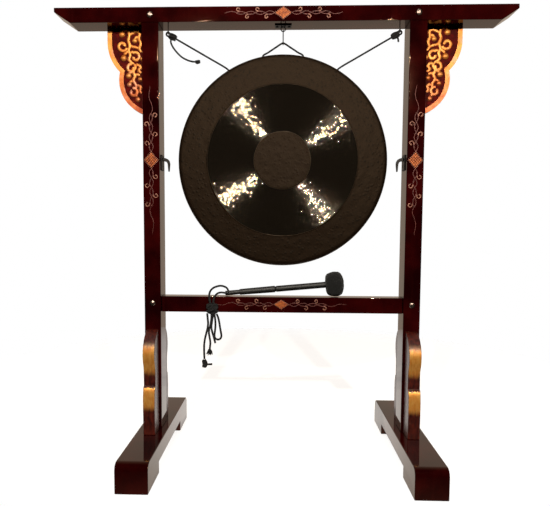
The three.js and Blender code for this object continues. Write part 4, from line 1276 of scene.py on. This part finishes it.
for radius, depth in rim:
    push = {"value": (0, (depth - place[1]) * MM, 0)}
    bpy.ops.mesh.extrude_edges_move(TRANSFORM_OT_translate=push)
    grow = radius / place[0]
    bpy.ops.transform.resize(value=(grow, 1, grow), center_override=(0, 0, GONG_CENTRE * MM))
    place = (radius, depth)
bpy.ops.mesh.select_all(action="SELECT")
bpy.ops.mesh.normals_make_consistent(inside=False)
rest()
print("gong faces", len(gong.data.polygons))

# %% [markdown]
# Hammer blows leave shallow dents all over, some broad and some small. Two displacements along the
# gong's axis from cloud noise make them, then the sheet gets its thickness and the four holes are
# cut through the rim.

# %% Hammer marks, thickness and holes
def dent(piece, size, strength, direction="Y", where=""):
    """Moves a surface in and out by cloud noise of a size, in millimetres."""
    clouds = bpy.data.textures.new(f"dents_{size}", "CLOUDS")
    clouds.noise_scale = size * MM
    clouds.noise_depth = 1
    modify(
        piece,
        "DISPLACE",
        texture=clouds,
        texture_coords="LOCAL",
        direction=direction,
        mid_level=0.5,
        strength=strength * MM,
        vertex_group=where,
    )


hammered = gong.vertex_groups.new(name="hammered")
for vertex in gong.data.vertices:
    radius = math.hypot(vertex.co.x, vertex.co.z - GONG_CENTRE * MM) / MM
    hammered.add([vertex.index], 0.02 + (radius - 82) * 0.0006 if 82 < radius < 220 else 1.0, "REPLACE")
dent(gong, 19, 1.4, "Y", "hammered")
dent(gong, 9, 0.55, "Y", "hammered")
modify(gong, "SOLIDIFY", thickness=2 * MM, offset=-1)
drills = []
for turn in (-11, 11, -31, 31):
    rest()
    bpy.ops.mesh.primitive_cylinder_add(
        vertices=32,
        radius=4.5 * MM,
        depth=24 * MM,
        location=at_hole(turn, GONG_RADIUS) * MM,
        rotation=(0, math.radians(turn), 0),
    )
    bpy.ops.object.transform_apply(location=True, rotation=True, scale=True)
    drills.append(bpy.context.object)
for drill in drills:
    modify(gong, "BOOLEAN", operation="DIFFERENCE", solver="MANIFOLD", object=drill)
    bpy.data.objects.remove(drill)
keep(gong, "gong_disc", "gong", "gong_bronze", "gong_bronze", "gong")
print("gong", len(gong.data.polygons), "faces,", [round(v, 3) for v in gong.dimensions])

# %% [markdown]
# ## The mallet's head
#
# The head is felt wound tight over a wooden core: nearly flat where the handle goes in, fullest in
# the middle and domed at the far end. A circle is extruded along the mallet and resized at each step,
# the result is smoothed, and noise of two sizes makes the wool lumpy.

# %% Felt head
HEAD = [(-26, 15), (-25.4, 24), (-22, 30), (-15, 34), (-6, 36.4), (2, 37), (10, 36), (17, 32.5), (22, 26)]
HEAD += [(25, 18), (26, 9)]
rest()
bpy.ops.mesh.primitive_circle_add(
    vertices=48,
    radius=9 * MM,
    fill_type="NGON",
    location=(-26 * MM, 0, 0),
    rotation=(0, math.pi / 2, 0),
)
bpy.ops.object.transform_apply(location=True, rotation=True, scale=True)
head = bpy.context.object
edit(head)
place = (-26, 9)
for along, radius in HEAD:
    push = {"value": ((along - place[0]) * MM, 0, 0)}
    bpy.ops.mesh.extrude_region_move(TRANSFORM_OT_translate=push)
    grow = radius / place[1]
    bpy.ops.transform.resize(value=(1, grow, grow), center_override=(along * MM, 0, 0))
    place = (along, radius)
choose(head, "EDGE", lambda e: e.is_boundary)
bpy.ops.mesh.edge_face_add()
bpy.ops.mesh.select_all(action="SELECT")
bpy.ops.mesh.normals_make_consistent(inside=False)
rest()
hold(head)
smooth = head.modifiers.new("smooth", "SUBSURF")
smooth.levels = smooth.render_levels = 3
bpy.ops.object.modifier_apply(modifier=smooth.name)
dent(head, 13, 2.6, "NORMAL")
dent(head, 2.2, 1.1, "NORMAL")
hold(head)
head.rotation_euler = (0, -math.atan2(mallet_axis.z, mallet_axis.x), 0)
head.location = mallet_head * MM
keep(head, "mallet_felt", "mallet", "felt", "felt", "mallet_head")
print("felt", len(head.data.polygons), "faces")

# %% [markdown]
# ## Painted vines
#
# On the beam, the posts and the rail a small gold diamond has a vine on each side of it: a double
# wavy stem, four curls on alternate sides, each ending in a bead, and a thin tail. The vine is drawn
# once, along a line that leads away from the diamond, and placed eight times.

# %% One vine
def vine(tail_end, first_side, spread=1.0):
    """The strokes of one vine: the stems with their tail, and the curls."""
    stems = []
    for phase in (0, math.pi):
        wave = []
        for i in range(49):
            u = 24 + 108 * i / 48
            swing = 6.2 * math.sin(2 * math.pi * (u - 24) / 54 + phase) * (1 - 0.3 * i / 48)
            wave.append((u, swing * spread, 2.1))
        stems.append(wave)
    s = first_side * spread
    tail = [(130, 0), (142, -5 * s), (156, -3 * s), (170, 3 * s), (184, 5 * s), (tail_end, 1 * s)]
    tail = [p for p in tail[:-1] if p[0] < tail_end - 8] + [tail[-1]]
    stems.append(bezier_line(tail, 1.9, 8, 0.5))
    curls = []
    for i, u in enumerate((47, 72, 101, 126)):
        side = first_side * (-1) ** i
        curl = arc((u, 12.5 * side * spread), 6.6 * spread, -115 * side, 305 * side, 2.7, 0.5, 2.0)
        root = [(u - 14, 3 * side * spread), (u - 8, 4.6 * side * spread), curl[0][:2]]
        stems.append(bezier_line(root, 2.0, 5))
        curls.append(curl)
    return stems, curls


def diamond(half_long, half_wide):
    """A diamond of petals, and the dots along its edge."""
    petals = []
    for i in range(-2, 3):
        for k in range(-2, 3):
            if abs(i) + abs(k) > 4:
                continue
            u, v = (i + k) / 5.4 * half_long, (i - k) / 5.4 * half_wide
            petals.append([(u - 2.2, v, 4.4), (u, v, 6.8), (u + 2.2, v, 4.4)])
    dots = []
    for i in range(28):
        share = i / 7 % 1
        one, two = [((1, 0), (0, 1)), ((0, 1), (-1, 0)), ((-1, 0), (0, -1)), ((0, -1), (1, 0))][i // 7]
        u = (one[0] + (two[0] - one[0]) * share) * half_long
        v = (one[1] + (two[1] - one[1]) * share) * half_wide
        dots.append([(u - 0.9, v, 2.4), (u, v, 3.0), (u + 0.9, v, 2.4)])
    return petals, dots


print("strokes in a vine", sum(len(part) for part in vine(172, 1)))

# %% Motifs
BEAM_LINE, POST_LINE, RAIL_LINE = 1275, 868, 452
POST_VINE = ((23.5, 20.5), 1.0, (1, 212), (-1, 208))
MOTIFS = {
    "beam": (-HALF_DEPTH, lambda u, v: (u, BEAM_LINE + v), (24, 17), 0.82, (-1, 165), (1, 165)),
    "left_post": (-HALF_DEPTH, lambda u, v: (-POST_X + v, POST_LINE + u), *POST_VINE),
    "right_post": (-HALF_DEPTH, lambda u, v: (POST_X + v, POST_LINE + u), *POST_VINE),
    "rail": (-23, lambda u, v: (u, RAIL_LINE + v), (21, 13), 0.85, (-1, 188), (1, 190)),
}
for name, (face_y, place, half, spread, down, up) in MOTIFS.items():
    petals, dots = diamond(*half)
    stems, curls = [], []
    for direction, (first_side, tail_end) in ((-1, down), (1, up)):
        some_stems, some_curls = vine(tail_end, first_side, spread)
        for kept, found in ((stems, some_stems), (curls, some_curls)):
            kept += [[(direction * u, v, thick) for u, v, thick in line] for line in found]
    laid = (place, face_y, 0.22, "stand", "gilded_carving")
    ornament(f"{name}_vine_stems", stems, *laid, "painted_stem")
    ornament(f"{name}_vine_curls", curls + dots, *laid, "painted_line")
    ornament(f"{name}_diamond", petals, place, face_y, 0.16, "stand", "gilded_carving", "painted_gold")
    print(name, len(stems), "stems,", len(curls), "curls")

# %% Carried-over pieces
for node, piece in frame["nodes"].items():
    if piece.hide_render:
        continue
    slot = next(s["material_slot"] for s in frame["record"]["subparts"] if s["node"] == node)
    look = finishes.get(slot) or finishes["gold"]
    for material_slot in piece.material_slots:
        material_slot.material = look

for cord in [*cords.values(), *knots.values(), fringe]:
    cord.data.materials.append(finishes["black_cord"])

# %% [markdown]
# ## Floor, light and finish
#
# The stand is seen against a bright, even white. A pale floor disc fades into it, so that the feet
# keep soft shadows. Two small lamps up in front, left and right, draw the four bright streaks on the
# gong, because each of its turned rings shines where it faces halfway between lamp and eye. A wide
# lamp overhead and a warm sky, which the camera itself sees as white, light everything else.

# %% World
world = bpy.data.worlds.new("bright_backdrop")
bpy.context.scene.world = world
world.use_nodes = True
nodes = world.node_tree.nodes
links = world.node_tree.links
nodes.clear()
coordinates = nodes.new("ShaderNodeTexCoord")
parts = nodes.new("ShaderNodeSeparateXYZ")
links.new(coordinates.outputs["Generated"], parts.inputs[0])
glow = nodes.new("ShaderNodeMapRange")
for end, value in {"From Min": -0.25, "From Max": 0.7, "To Min": 0.0, "To Max": 0.6}.items():
    glow.inputs[end].default_value = value
links.new(parts.outputs["Y"], glow.inputs["Value"])
WARM = (1.0, 0.82, 0.65, 1)
seen = nodes.new("ShaderNodeBackground")
seen.inputs["Strength"].default_value = 1.0
seen.inputs["Color"].default_value = (1, 1, 1, 1)
lit = nodes.new("ShaderNodeBackground")
lit.inputs["Color"].default_value = WARM
links.new(glow.outputs[0], lit.inputs["Strength"])
path = nodes.new("ShaderNodeLightPath")
choice = nodes.new("ShaderNodeMixShader")
links.new(path.outputs["Is Camera Ray"], choice.inputs[0])
links.new(lit.outputs[0], choice.inputs[1])
links.new(seen.outputs[0], choice.inputs[2])
output = nodes.new("ShaderNodeOutputWorld")
links.new(choice.outputs[0], output.inputs["Surface"])
bpy.context.scene.view_settings.view_transform = "Standard"

# %% Lamps
def lamp(name, place, aim, size, watts, colour=(1, 1, 1)):
    light = bpy.data.lights.new(name, "AREA")
    light.shape = "DISK"
    light.size = size
    light.energy = watts
    light.color = colour
    holder = bpy.data.objects.new(name, light)
    bpy.context.collection.objects.link(holder)
    holder.location = place
    holder.rotation_euler = (Vector(aim) - Vector(place)).to_track_quat("-Z", "Y").to_euler()


LAMP_SIZE = 0.06
LAMP_WATTS = 44
LAMP_COLOUR = (1.0, 0.92, 0.8)
for name, place in (("left_lamp", (-0.533, -2.349, 1.893)), ("right_lamp", (0.736, -2.37, 1.692))):
    lamp(name, place, (0, 0, GONG_CENTRE * MM), LAMP_SIZE, LAMP_WATTS, LAMP_COLOUR)
lamp("high_soft", (0.0, -1.1, 4.0), (0, 0, 0.5), 1.6, 16, (1.0, 0.94, 0.88))

# %% Floor
bpy.ops.object.select_all(action="DESELECT")
bpy.ops.mesh.primitive_circle_add(vertices=96, radius=1.6, fill_type="NGON", location=(0, 0.45, -0.0004))
floor = bpy.context.object
floor.name = "floor"
shader = Shader("pale_floor")
x, y, z = shader.axes()
reach = (x * x + (y - 0.5) * (y - 0.5)) ** 0.5
cloud = shader.noise(3, 3)
floor.data.materials.append(
    shader.finish(
        Base_Color=shader.mix(cloud, (0.86, 0.86, 0.85), (0.92, 0.92, 0.91)),
        Roughness=0.7 + cloud * 0.1,
        Emission_Color=(1, 1, 1),
        Emission_Strength=0.72,
        Alpha=1 - reach.ramp(0.55, 1.5),
    )
)
